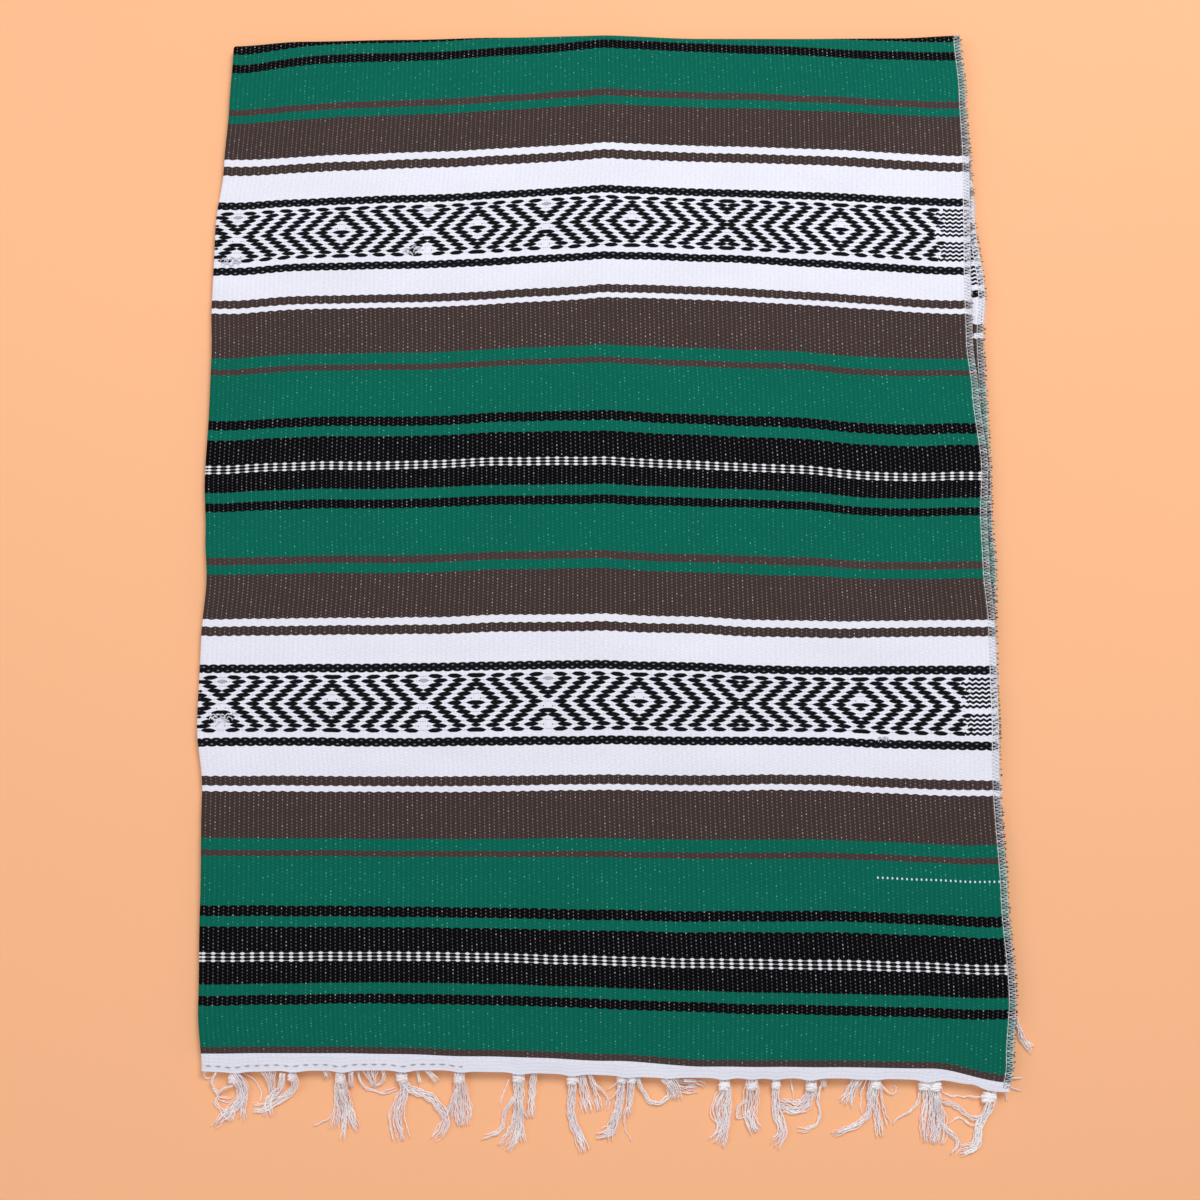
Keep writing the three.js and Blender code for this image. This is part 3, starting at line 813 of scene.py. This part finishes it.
PACKING_CREASE = 0.512  # its place, as a share of the width from the lengthwise fold
CREASE_SPACING = 0.099  # columns at the crease are this share further apart than the mean
FOLD_COLUMNS = 9  # columns round the lengthwise fold


def cloth_columns(top_count, second_count):
    """Columns from the top layer's seam, round the lengthwise fold, to the second's seam.

    Each is its share of the width, its shift from there, its height from the middle of the
    doubled cloth, its distance across the cloth, and its layer.
    """
    radius = PITCH / 2
    width = RIBS * RIB
    shares = np.linspace(0, 1, top_count)
    turns = 2 * math.pi * (shares - PACKING_CREASE)
    shares = shares + CREASE_SPACING * np.sin(turns) / (2 * math.pi)
    shares = (shares - shares[0]) / (shares[-1] - shares[0])
    columns = [(p, BEND * (1 - p), radius, p * width, 1) for p in shares[::-1]]
    for lean in np.linspace(0, math.pi, FOLD_COLUMNS + 2)[1:-1]:
        shift = BEND - radius * math.sin(lean)
        columns.append((0, shift, radius * math.cos(lean), radius * (math.pi / 2 - lean), 1.5))
    shares = np.linspace(0, 1, second_count)
    columns += [(p, BEND * (1 - p), -radius, -p * width, 2) for p in shares]
    return np.array(columns)


def cloth_sheet(name, columns, rows, finish, place_of):
    """A sheet on the folded stack.

    Each row is its start and end lines, its share between them, and its turn round the
    crosswise fold.
    """
    share, shift, offset, place, layer = columns.T
    second_layer = np.clip(layer - 1, 0, 1)[:, None]
    points, places = [], []
    for start_of, end_of, part, turn in rows:
        turned = turn > math.pi / 2
        guess = seam_at(np.full(len(share), NEAR_HEM), 1, turned) * share
        guess = guess + read(SIDES, "down", "left", NEAR_HEM) * (1 - share)
        down = start_of(guess) * (1 - part) + end_of(guess) * part
        left = read(SIDES, "down", "left", down)
        seam = np.where(layer < 2, seam_at(down, 1, turned), seam_at(down, 2, turned)) - RAW_EDGE
        across = left + (seam - left) * share + shift
        top = stack_point(across, down, turn, offset, 1)
        under = stack_point(across, down, turn, offset, 2)
        points.append(top * (1 - second_layer) + under * second_layer)
        places.append(place_of(across, down, turn, offset, place, layer))
    points, places = np.concatenate(points), np.concatenate(places)
    faces = grid_faces(len(rows), len(columns))
    piece = new_piece(name, points, faces, finish, places * MM)
    shell = piece.modifiers.new("cloth_thickness", "SOLIDIFY")
    shell.thickness, shell.offset = WALL * MM, 0
    apply_modifiers(piece)
    keep_corners(piece)
    return piece


BLEND_ABOVE_HEADING = 50  # over this length the weave is eased to meet the heading's border


def weave_place(across, down, turn, offset, place, layer):
    """Distances across and along the cloth at a point of the folded stack."""
    if turn == 0:
        below_zero = from_zero(across, down)
        border = read(LINES, "across", "heading", across)
        behind = HEADING_BORDER - weft_at(across, border)
        near = smooth((below_zero - border) / BLEND_ABOVE_HEADING + 1)
        weft = weft_at(across, below_zero) + behind * near
    else:
        start = weft_at(across, from_zero(across, 0.0))
        weft = start - (PITCH + FOLD_PUFF / 2 + offset) * turn - down
    slip = SECOND_SLIP * (np.clip(layer - 1, 0, 1) * place / (RIBS * RIB)) ** 2
    return np.stack([place, weft - slip], axis=-1)


def heading_place(across, down, turn, offset, place, layer):
    """In the heading, distance along the cloth is measured up from the hem."""
    return np.stack([place, hem_at(across) - down], axis=-1)


HEADING_OVERLAP = 3.0  # white of the heading that is woven with the cloth


# Lines across the cloth that rows run between, as distances from the crosswise fold's axis.
def at_axis(across):
    return np.zeros_like(across)


def heading_start(across):
    return from_axis(across, read(LINES, "across", "heading", across)) + HEADING_OVERLAP


def lower_hem(across):
    return hem_at(across) - LOWER_INSET


def shared(count):
    return np.linspace(0, 1, count)


columns = cloth_columns(104, 56)
upper = [(heading_start, at_axis, part, 0.0) for part in shared(132)]
fold = [(at_axis, at_axis, 0.0, turn) for turn in np.linspace(0, math.pi, 15)[1:-1]]
lower = [(at_axis, heading_start, part, math.pi) for part in shared(58)]
cloth = cloth_sheet("striped_cloth", columns, upper + fold + lower, CLOTH, weave_place)

front_rows = [(hem_at, heading_start, part, 0.0) for part in shared(8)]
under_rows = [(heading_start, lower_hem, part, math.pi) for part in shared(6)]
heading_columns = cloth_columns(208, 104)
front_heading = cloth_sheet("heading_upper", heading_columns, front_rows, HEADING, heading_place)
under_heading = cloth_sheet("heading_lower", heading_columns, under_rows, HEADING, heading_place)


# ---- Overlocked edges ----
NEEDLE_LINE = 6.6  # from the edge to the row of needle stitches
STITCH = 3.3  # from one stitch to the next
THREAD_RADIUS = 0.36
NEEDLE_RADIUS = 0.47


def on_floor(points, radius):
    """The points of a thread of this radius, none of them below the floor."""
    points[:, 2] = np.maximum(points[:, 2], radius * MM)
    return points


def seam_point(down, inset, rise, layer, turn=0.0, turned=False):
    """A point on an overlocked edge: `inset` from its rim and `rise` above its middle."""
    upper_layer = layer if layer <= 2 else 5 - layer
    down = np.asarray(down, float)
    edge = seam_at(down, upper_layer, turned)
    offset = (PITCH / 2 if upper_layer == 1 else -PITCH / 2) + rise
    points = stack_point(edge - inset, down, turn, offset, upper_layer)
    return on_floor(points, NEEDLE_RADIUS)


# One stitch of each looper: share of the stitch, inset from the rim, and share of its height.
LOOPER_OUT = (
    (0.0, NEEDLE_LINE + 0.4, 1.0), (0.22, 4.6, 1.06), (0.44, 1.6, 1.04), (0.54, 0.1, 0.55),
    (0.6, -0.05, -0.1), (0.66, 0.3, 0.6), (0.78, 2.6, 1.0), (0.9, 5.0, 1.0),
)
LOOPER_RIM = (
    (0.0, 3.4, 1.1), (0.2, 1.8, 1.1), (0.4, 0.3, 0.7), (0.5, 0.0, 0.0), (0.6, 0.3, 0.7),
    (0.8, 1.8, 1.1),
)
LOOPERS = ((0.0, LOOPER_OUT, THREAD_RADIUS), (0.52, LOOPER_RIM, THREAD_RADIUS * 0.8))
LOOPER_HEIGHT = WALL / 2 + THREAD_RADIUS * 0.55  # middle of a thread that lies on the face
LOOSE_REACH = 3  # past this inset, a looper's reach varies


def overlock(name, layer, length, round_fold=False):
    """Looper threads zigzagged over one edge, with the needle stitches along their root."""
    rng = random.Random(40 + layer)
    turned = layer > 2
    turn = math.pi if turned else 0.0
    face = -1 if turned else 1
    threads = Yarns()
    count = int(length / STITCH)
    for start, marks, radius in LOOPERS:
        down, inset, rise = [], [], []
        for stitch in range(count):
            wobble = rng.uniform(-0.3, 0.3)
            reach = rng.uniform(-0.5, 0.5)
            for along, place, level in marks:
                down.append((stitch + along + start) * STITCH + wobble * (1 - place / 8))
                inset.append(place + reach * (place > LOOSE_REACH))
                rise.append(face * level * LOOPER_HEIGHT)
        down = np.array(down)
        path = seam_point(down, np.array(inset), np.array(rise), layer, turn, turned)
        places = seam_places(down, layer)
        threads.add(path, radius * MM, sides=4, facing=(0, 1, 0), places=places)
    down = np.arange(0, count * STITCH, STITCH / 4)
    dip = 0.25 * np.cos(2 * math.pi * down / STITCH)
    rise = face * (WALL / 2 + THREAD_RADIUS * 0.5 + dip)
    path = seam_point(down, NEEDLE_LINE, rise, layer, turn, turned)
    threads.add(path, NEEDLE_RADIUS * MM, sides=4, places=seam_places(down, layer))
    if round_fold:
        add_fold_stitches(threads)
    return threads.piece(name, THREAD)


def seam_places(down, layer):
    """Places in the weave along an overlocked edge."""
    edge = read(SIDES, "down", "right", down)
    weft = weft_at(edge, from_zero(edge, down))
    if layer == 2:
        weft = weft - SECOND_SLIP
    if layer > 2:
        weft = -down
    return np.stack([np.full(len(down), RIBS * RIB), weft], axis=-1) * MM


def add_fold_stitches(threads):
    """The same stitches where the edge turns round the crosswise fold."""
    insets = np.array((NEEDLE_LINE, 3.4, 0.2, 3.0, NEEDLE_LINE))
    none = np.zeros(len(insets))
    edge = seam_at(none, 1, False)
    radius = PITCH * 1.5 + FOLD_PUFF / 2
    count = int(math.pi * radius / STITCH) + 1
    for start in (0.0, 0.5):
        for stitch in range(count):
            turns = (stitch + start + np.linspace(0, 0.9, len(insets))) * math.pi / count
            turns = np.clip(turns, 0, math.pi)
            path = stack_point(edge - insets, none, turns, PITCH / 2 + LOOPER_HEIGHT, 1)
            path = on_floor(path, THREAD_RADIUS)
            threads.add(path, THREAD_RADIUS * MM, sides=4, facing=(0, 1, 0.3))


seam_length = float(hem_at(np.array([368.0]))[0])
top_thread = overlock("overlock_top_edge", 1, seam_length, round_fold=True)
second_thread = overlock("overlock_second_edge", 2, seam_length - 1)
third_thread = overlock("overlock_third_edge", 3, seam_length - 3)
lowest_thread = overlock("overlock_lowest_edge", 4, seam_length - 3)


END_RADII = np.array((0.46, 0.42, 0.25))  # from the edge of the cloth to the tip


def cut_ends(name, layer, length, seed):
    """Ends of weft that stick out through the overlocking."""
    rng = random.Random(seed)
    ends = Yarns()
    down = 2.0
    while down < length:
        count = rng.choice((1, 1, 2, 3))
        for _ in range(count):
            reach = rng.uniform(0.6, 2.5)
            at = np.full(3, down + rng.uniform(-0.8, 0.8))
            at = at + np.array((0, 0.3, 0.9)) * rng.uniform(-1.2, 1.2)
            inset = np.array((1.2, 0.1, -reach))
            rise = np.array((0.2, 0.0, rng.uniform(-0.5, 0.7)))
            path = seam_point(at, inset, rise, layer)
            places = seam_places(at, layer)
            ends.add(path, END_RADII * MM, sides=4, facing=(0, 1, 0), places=places)
        down += rng.uniform(1.5, 6.0)
    return ends.piece(name, CUT_YARN)


top_ends = cut_ends("weft_ends_top_edge", 1, seam_length - 12, 71)
second_ends = cut_ends("weft_ends_second_edge", 2, seam_length - 12, 72)


# ---- Fringe ----
# Each bundle is its share of the yarns and its path: across, down from the zero line, and width.
FRINGE = (
    # at the lengthwise fold
    (5, ((-333, 1011, 8), (-326, 1030, 9), (-338, 1045, 7), (-352, 1060, 5))),
    (5, ((-333, 1011, 8), (-325, 1030, 9), (-332, 1043, 6), (-337, 1054, 5))),
    (4, ((-332, 1011, 7), (-324, 1030, 7), (-324, 1043, 5), (-325, 1054, 5))),
    (2, ((-348, 1009, 3), (-352, 1023, 3), (-348, 1030, 3), (-349, 1036, 3), (-343, 1044, 3),
         (-336, 1051, 3))),
    (2, ((-333, 1022, 3), (-343, 1026, 3), (-348, 1032, 3), (-340, 1035, 3), (-336, 1036, 3))),
    (1, ((-353, 1008, 1), (-359, 1010, 1), (-360, 1014, 1), (-356, 1017, 1), (-352, 1013, 1))),
    (1, ((-327, 1011, 1), (-315, 1018, 1), (-310, 1025, 1), (-309, 1038, 1))),
    # a fan and a rope that turns left
    (6, ((-301, 1007, 15), (-299, 1018, 7), (-299, 1030, 4))),
    (6, ((-280, 1011, 6), (-277, 1019, 6), (-282, 1028, 6), (-294, 1036, 6), (-302, 1041, 6),
         (-315, 1043, 6))),
    (5, ((-288, 1011, 5), (-293, 1027, 5), (-299, 1032, 5), (-302, 1050, 6))),
    (3, ((-250, 1006, 4), (-248, 1015, 5))),
    # a straight lock that opens
    (14, ((-236, 1010, 7), (-235, 1029, 12), (-233, 1045, 16), (-232, 1060, 22))),
    (3, ((-235, 1025, 4), (-232, 1051, 4), (-233, 1071, 3))),
    (3, ((-234, 1025, 4), (-228, 1047, 4), (-221, 1064, 4))),
    (4, ((-226, 1009, 5), (-227, 1024, 5))),
    (1, ((-241, 1043, 1), (-245, 1050, 1), (-253, 1055, 1), (-260, 1058, 1))),
    # a short fan
    (6, ((-209, 1003, 20), (-208, 1012, 11), (-206, 1023, 4))),
    (3, ((-198, 1005, 3), (-198, 1018, 3), (-202, 1022, 3), (-210, 1019, 3))),
    (2, ((-220, 1009, 2), (-215, 1022, 2), (-205, 1027, 2), (-193, 1028, 2), (-185, 1025, 2))),
    # a lock in two branches
    (9, ((-181, 1010, 9), (-178, 1025, 8), (-181, 1036, 11), (-184, 1048, 14), (-182, 1060, 14),
         (-179, 1071, 13))),
    (7, ((-180, 1011, 8), (-175, 1024, 7), (-160, 1030, 7), (-145, 1043, 8), (-140, 1051, 8),
         (-142, 1059, 9), (-150, 1071, 9))),
    (2, ((-167, 1006, 3), (-163, 1021, 3))),
    (3, ((-158, 1007, 4), (-147, 1019, 4))),
    # a straight lock
    (11, ((-128, 1010, 9), (-127, 1025, 11), (-126, 1036, 15), (-125, 1051, 16), (-125, 1058, 13))),
    (4, ((-130, 1025, 4), (-136, 1043, 7), (-138, 1051, 7))),
    # a long lock, its end turned left
    (11, ((-74, 1009, 10), (-74, 1030, 9), (-75, 1051, 9), (-77, 1062, 11), (-86, 1078, 11))),
    (3, ((-73, 1034, 5), (-71, 1060, 5), (-69, 1072, 4))),
    (1, ((-72, 1038, 1), (-68, 1048, 1), (-66, 1052, 1))),
    (1, ((-83, 1017, 1), (-88, 1030, 1), (-92, 1043, 1))),
    (3, ((-78, 1032, 4), (-88, 1051, 4), (-90, 1061, 4), (-99, 1066, 4), (-107, 1069, 4))),
    (5, ((-60, 1009, 5), (-62, 1034, 5), (-63, 1051, 3))),
    # a long lock, its end turned right, with three short ones beside it
    (9, ((-25, 1011, 8), (-25, 1029, 7), (-25, 1051, 7), (-18, 1067, 7), (-13, 1080, 7))),
    (6, ((-17, 1011, 7), (-14, 1030, 8), (-11, 1046, 9))),
    (4, ((-10, 1010, 5), (-4, 1029, 5), (0, 1044, 4))),
    (2, ((-5, 1020, 2), (5, 1031, 2), (7, 1036, 2), (5, 1044, 2))),
    # two locks side by side
    (9, ((20, 1010, 7), (18, 1036, 7), (14, 1051, 8), (5, 1065, 9), (-3, 1066, 7))),
    (3, ((15, 1043, 4), (10, 1060, 4), (9, 1071, 4))),
    (6, ((28, 1010, 8), (27, 1036, 6), (25, 1051, 5))),
    (1, ((25, 1041, 1), (22, 1051, 1), (28, 1071, 1))),
    (1, ((18, 1015, 1), (13, 1022, 1), (7, 1027, 1))),
    (1, ((18, 1022, 1), (14, 1029, 1), (7, 1036, 1))),
    # a loop, and a flat tuft under it
    (4, ((34, 1012, 4), (41, 1030, 4), (50, 1038, 4), (59, 1035, 4), (63, 1026, 4), (61, 1017, 4))),
    (8, ((58, 1013, 9), (74, 1022, 12), (89, 1023, 8))),
    (6, ((63, 1017, 8), (69, 1029, 8), (69, 1035, 6))),
    (2, ((76, 1017, 3), (91, 1020, 3), (96, 1023, 3))),
    # four full locks
    (12, ((113, 1015, 8), (114, 1025, 9), (110, 1044, 17), (111, 1059, 10), (105, 1073, 14))),
    (1, ((115, 1043, 1), (115, 1059, 1), (116, 1070, 1))),
    (10, ((138, 1015, 9), (137, 1036, 14), (136, 1051, 11), (142, 1063, 10))),
    (2, ((134, 1034, 3), (125, 1044, 3), (125, 1051, 3), (130, 1051, 3))),
    (9, ((161, 1013, 6), (160, 1036, 7), (162, 1050, 9), (165, 1059, 8), (157, 1075, 8))),
    (10, ((192, 1015, 9), (190, 1032, 9), (183, 1040, 11), (170, 1040, 12), (162, 1037, 11))),
    (2, ((203, 1017, 3), (198, 1036, 3), (199, 1051, 3), (192, 1059, 3), (179, 1061, 3))),
    (3, ((202, 1015, 5), (205, 1024, 5))),
    (1, ((173, 1015, 1), (175, 1025, 1), (176, 1035, 1))),
    # a short lock
    (8, ((236, 1011, 11), (228, 1028, 9), (222, 1039, 14))),
    # a lock in four wisps
    (5, ((251, 1014, 5), (250, 1029, 5), (251, 1044, 5), (254, 1068, 5))),
    (5, ((248, 1015, 5), (245, 1029, 5), (244, 1044, 5), (236, 1054, 5), (226, 1059, 5),
         (210, 1064, 5))),
    (1, ((243, 1015, 1), (239, 1025, 1), (237, 1036, 1), (238, 1048, 1))),
    (2, ((254, 1015, 3), (256, 1030, 3), (258, 1044, 3), (264, 1058, 3))),
    (1, ((254, 1018, 1), (260, 1026, 1), (269, 1029, 1), (270, 1025, 1), (265, 1022, 1))),
    # the widest lock
    (18, ((299, 1014, 18), (301, 1029, 14), (302, 1041, 17), (302, 1053, 21), (300, 1073, 16))),
    (2, ((293, 1016, 3), (291, 1029, 3), (283, 1044, 3), (271, 1051, 3), (264, 1058, 3))),
    (4, ((305, 1031, 5), (307, 1048, 5), (312, 1059, 5), (324, 1074, 5), (319, 1083, 4))),
    # the corner lock
    (10, ((355, 1025, 8), (354, 1038, 8), (349, 1048, 7), (343, 1059, 7), (341, 1071, 7),
          (333, 1078, 7), (326, 1079, 7))),
    (3, ((353, 1034, 4), (341, 1051, 4), (331, 1046, 4), (320, 1039, 4), (310, 1037, 4))),
    (1, ((346, 1050, 1), (341, 1057, 1), (335, 1056, 1), (327, 1051, 1), (316, 1057, 1))),
    (1, ((348, 1032, 1), (338, 1032, 1), (328, 1032, 1), (317, 1031, 1), (310, 1026, 1))),
    (1, ((366, 1018, 1), (375, 1016, 1), (385, 1016, 1))),
    (1, ((366, 1024, 1), (377, 1025, 1), (384, 1028, 1))),
    (1, ((366, 1024, 1), (369, 1030, 1), (370, 1036, 1))),
)
SIDE_LOCK = (
    (7, ((376, 951, 4), (384, 972, 5), (389, 984, 6), (397, 989, 7))),
    (3, ((381, 968, 4), (389, 983, 4), (394, 996, 5))),
)
KNOTS = (  # across, down, width
    (-333, 1016, 10), (-280, 1014, 8), (-236, 1016, 9), (-180, 1015, 10), (-128, 1016, 10),
    (-74, 1015, 11), (-25, 1017, 10), (20, 1016, 9), (29, 1016, 8), (113, 1022, 10),
    (138, 1022, 10), (160, 1021, 8), (192, 1023, 10), (251, 1021, 8), (295, 1022, 11),
    (305, 1023, 11), (353, 1032, 14),
)
YARNS_EACH = 1.9  # yarns for each share of a bundle
YARN_RADIUS = 0.41
YARN_STEP = 2.4  # length of one straight piece of a yarn
BUNDLE_FILL = 0.62  # how far out from a bundle's path its yarns lie, as a share of its width
PILE_HEIGHT = 4.0  # the tallest a bundle can lie
TURN_EACH = 2.4  # from one yarn to the next round a bundle, in radians
FALL = 22  # how far from the hem a lock takes to come down to the floor
SETTLE = 14  # how far from the hem a yarn starts to wave
LOCK_HEIGHTS = (7.6, 7.6, 6.0)  # where full locks leave the hem, most from the top layer
WISP_HEIGHTS = (7.6, 6.0, 3.6)  # where thin wisps do, from any of three layers
SIDE_HEIGHT = 2.6
FULL_TURN = 2 * math.pi


def plan_point(across, down, height):
    """A point given from the zero line and the floor, in metres."""
    return np.stack([across, -down, height], axis=-1) * MM + SHIFT


def ripple(rng, travelled, shortest, longest):
    """A sine wave along a yarn, of a random length and start."""
    return np.sin(FULL_TURN * travelled / rng.uniform(shortest, longest) + rng.uniform(0, 6.3))


def add_bundle(yarns, rng, count, marks, start_height):
    """A bundle of yarns round one path. Each has its own place in it, waves and length."""
    marks = np.array(marks, float)
    length = np.linalg.norm(np.diff(marks[:, :2], axis=0), axis=1).sum()
    for strand in range(count):
        own_length = 1.0 if count == 1 else rng.uniform(0.86, 1.06)
        steps = max(5, int(length * own_length / YARN_STEP))
        line = curve_through(marks, steps)
        if own_length > 1:
            line[-2:, :2] += (line[-1, :2] - line[-2, :2]) * (own_length - 1) * 4
        elif own_length < 1:
            line = curve_through(marks, int(steps / own_length))[:steps]
        travelled = np.linspace(0, length * own_length, steps)
        direction = np.gradient(line[:, :2], axis=0)
        direction /= np.maximum(np.linalg.norm(direction, axis=1, keepdims=True), 1e-9)
        sideways = np.stack([-direction[:, 1], direction[:, 0]], axis=-1)

        angle = strand * TURN_EACH + rng.uniform(-0.4, 0.4)
        spread = math.sqrt((strand + 0.5) / count)
        place = math.cos(angle) * spread
        level = 0.5 + 0.5 * math.sin(angle) * spread
        room = np.maximum(line[:, 2] * BUNDLE_FILL - YARN_RADIUS, 0)
        wave = rng.uniform(0.3, 0.9) * smooth(travelled / SETTLE)
        wave = wave * ripple(rng, travelled, 8, 17)
        furthest = 3.2 if count > 2 else 0.4
        stray = rng.uniform(-1, 1) * smooth((travelled / length - 0.45) / 0.7) * furthest
        centre = line[:, :2] + sideways * (place * room + wave + stray)[:, None]

        pile = np.maximum(np.minimum(line[:, 2], PILE_HEIGHT) - 2 * YARN_RADIUS, 0.2)
        pile = pile * (1 - 0.4 * smooth(travelled / length))
        rest = YARN_RADIUS + 0.15 + level * pile
        bob = 0.35 * ripple(rng, travelled, 9, 15)
        fall = (start_height - 2.0) * (1 - smooth(travelled / FALL))
        taper = np.ones(steps)
        taper[-2:] = (0.85, 0.5)
        path = plan_point(centre[:, 0], centre[:, 1], rest + fall + np.abs(bob))
        yarns.add(path, YARN_RADIUS * rng.uniform(0.85, 1.15) * taper * MM)


KNOT_TURNS = ((-2.6, 0.66), (-1.2, 0.94), (0.2, 1.0), (1.5, 0.92), (2.8, 0.62))  # down, and size
KNOT_HEIGHT = 4.6
KNOT_HALF_HEIGHT = 2.7


def add_knot(yarns, rng, across, down, width):
    """An overhand knot: a rounded bundle of turns wound round the lock."""
    for number, (shift, share) in enumerate(KNOT_TURNS):
        angle = np.linspace(0, FULL_TURN, 19)
        half_width = (width / 2 - 0.6) * share * rng.uniform(0.92, 1.0)
        half_height = KNOT_HALF_HEIGHT * share * rng.uniform(0.92, 1.0)
        tilt = rng.uniform(0.1, 0.4) * (-1) ** number
        x = across + half_width * np.cos(angle)
        y = down + shift + tilt * half_width * np.cos(angle) + 0.4 * np.sin(2 * angle + number)
        z = KNOT_HEIGHT + half_height * np.sin(angle)
        yarns.add(plan_point(x, y, z), rng.uniform(1.45, 1.65) * MM, sides=7, facing=(0, 1, 0))


def fringe():
    rng = random.Random(5)
    yarns = Yarns()
    for share, marks in FRINGE:
        height = rng.choice(LOCK_HEIGHTS if share > 2 else WISP_HEIGHTS)
        add_bundle(yarns, rng, round(share * YARNS_EACH), marks, height)
    for across, down, width in KNOTS:
        add_knot(yarns, rng, across, down, width)
    return yarns.piece("knotted_fringe", YARN)


def side_lock():
    rng = random.Random(6)
    yarns = Yarns()
    for count, marks in SIDE_LOCK:
        add_bundle(yarns, rng, count, marks, SIDE_HEIGHT)
    return yarns.piece("side_fringe_lock", YARN)


# Weft pulled up into little loops: across, down, and how far they spread.
PULLED_WEFT = ((-353, 684, 12), (-184, 227, 8), (266, 710, 3), (-364, 232, 9))
PULLED_RADIUS = 0.55


def pulled_loops():
    rng = random.Random(9)
    yarns = Yarns()
    for across, down, spread in PULLED_WEFT:
        for _ in range(4 + spread):
            x, y = across + rng.uniform(-1, 1) * spread, down + rng.uniform(-0.4, 0.4) * spread
            size, turn = rng.uniform(1.4, 3.2), rng.uniform(-0.6, 0.6)
            angle = np.linspace(-0.4, math.pi + 0.4, 9)
            sideways = size * np.cos(angle)
            rise = 0.9 * size * np.sin(angle)
            at = y - AXIS_BELOW_TOP - sideways * math.sin(turn) - rise * 0.7
            height = PITCH / 2 + WALL / 2 + 0.3 + np.maximum(rise * 0.2, 0)
            path = stack_point(x + sideways * math.cos(turn), at, 0.0, height, 1)
            yarns.add(path, PULLED_RADIUS * MM)
    return yarns.piece("pulled_weft_loops", PULLED)


fringe_piece = fringe()
side_piece = side_lock()
loops = pulled_loops()


# ---- What each piece stands for ----
locks = sorted(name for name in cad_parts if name.startswith("fringe_lock_"))
STANDS_FOR = (
    (cloth, "woven_cloth", ("top_panel", "hidden_layers", "second_layer_edge")),
    (front_heading, "heading_cloth", ("top_heading",)),
    (under_heading, "heading_cloth", ("hidden_headings",)),
    (top_thread, "overlock_thread", ("overlock_top",)),
    (second_thread, "overlock_thread", ("overlock_second",)),
    (third_thread, "overlock_thread", ("overlock_third",)),
    (lowest_thread, "overlock_thread", ("overlock_lowest",)),
    (top_ends, "woven_cloth", ()),
    (second_ends, "woven_cloth", ()),
    (loops, "woven_cloth", ()),
    (fringe_piece, "fringe_yarn", locks),
    (side_piece, "fringe_yarn", ("side_lock",)),
)
for piece, slot, nodes in STANDS_FOR:
    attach(piece, "root")
    if nodes:
        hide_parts(*nodes)
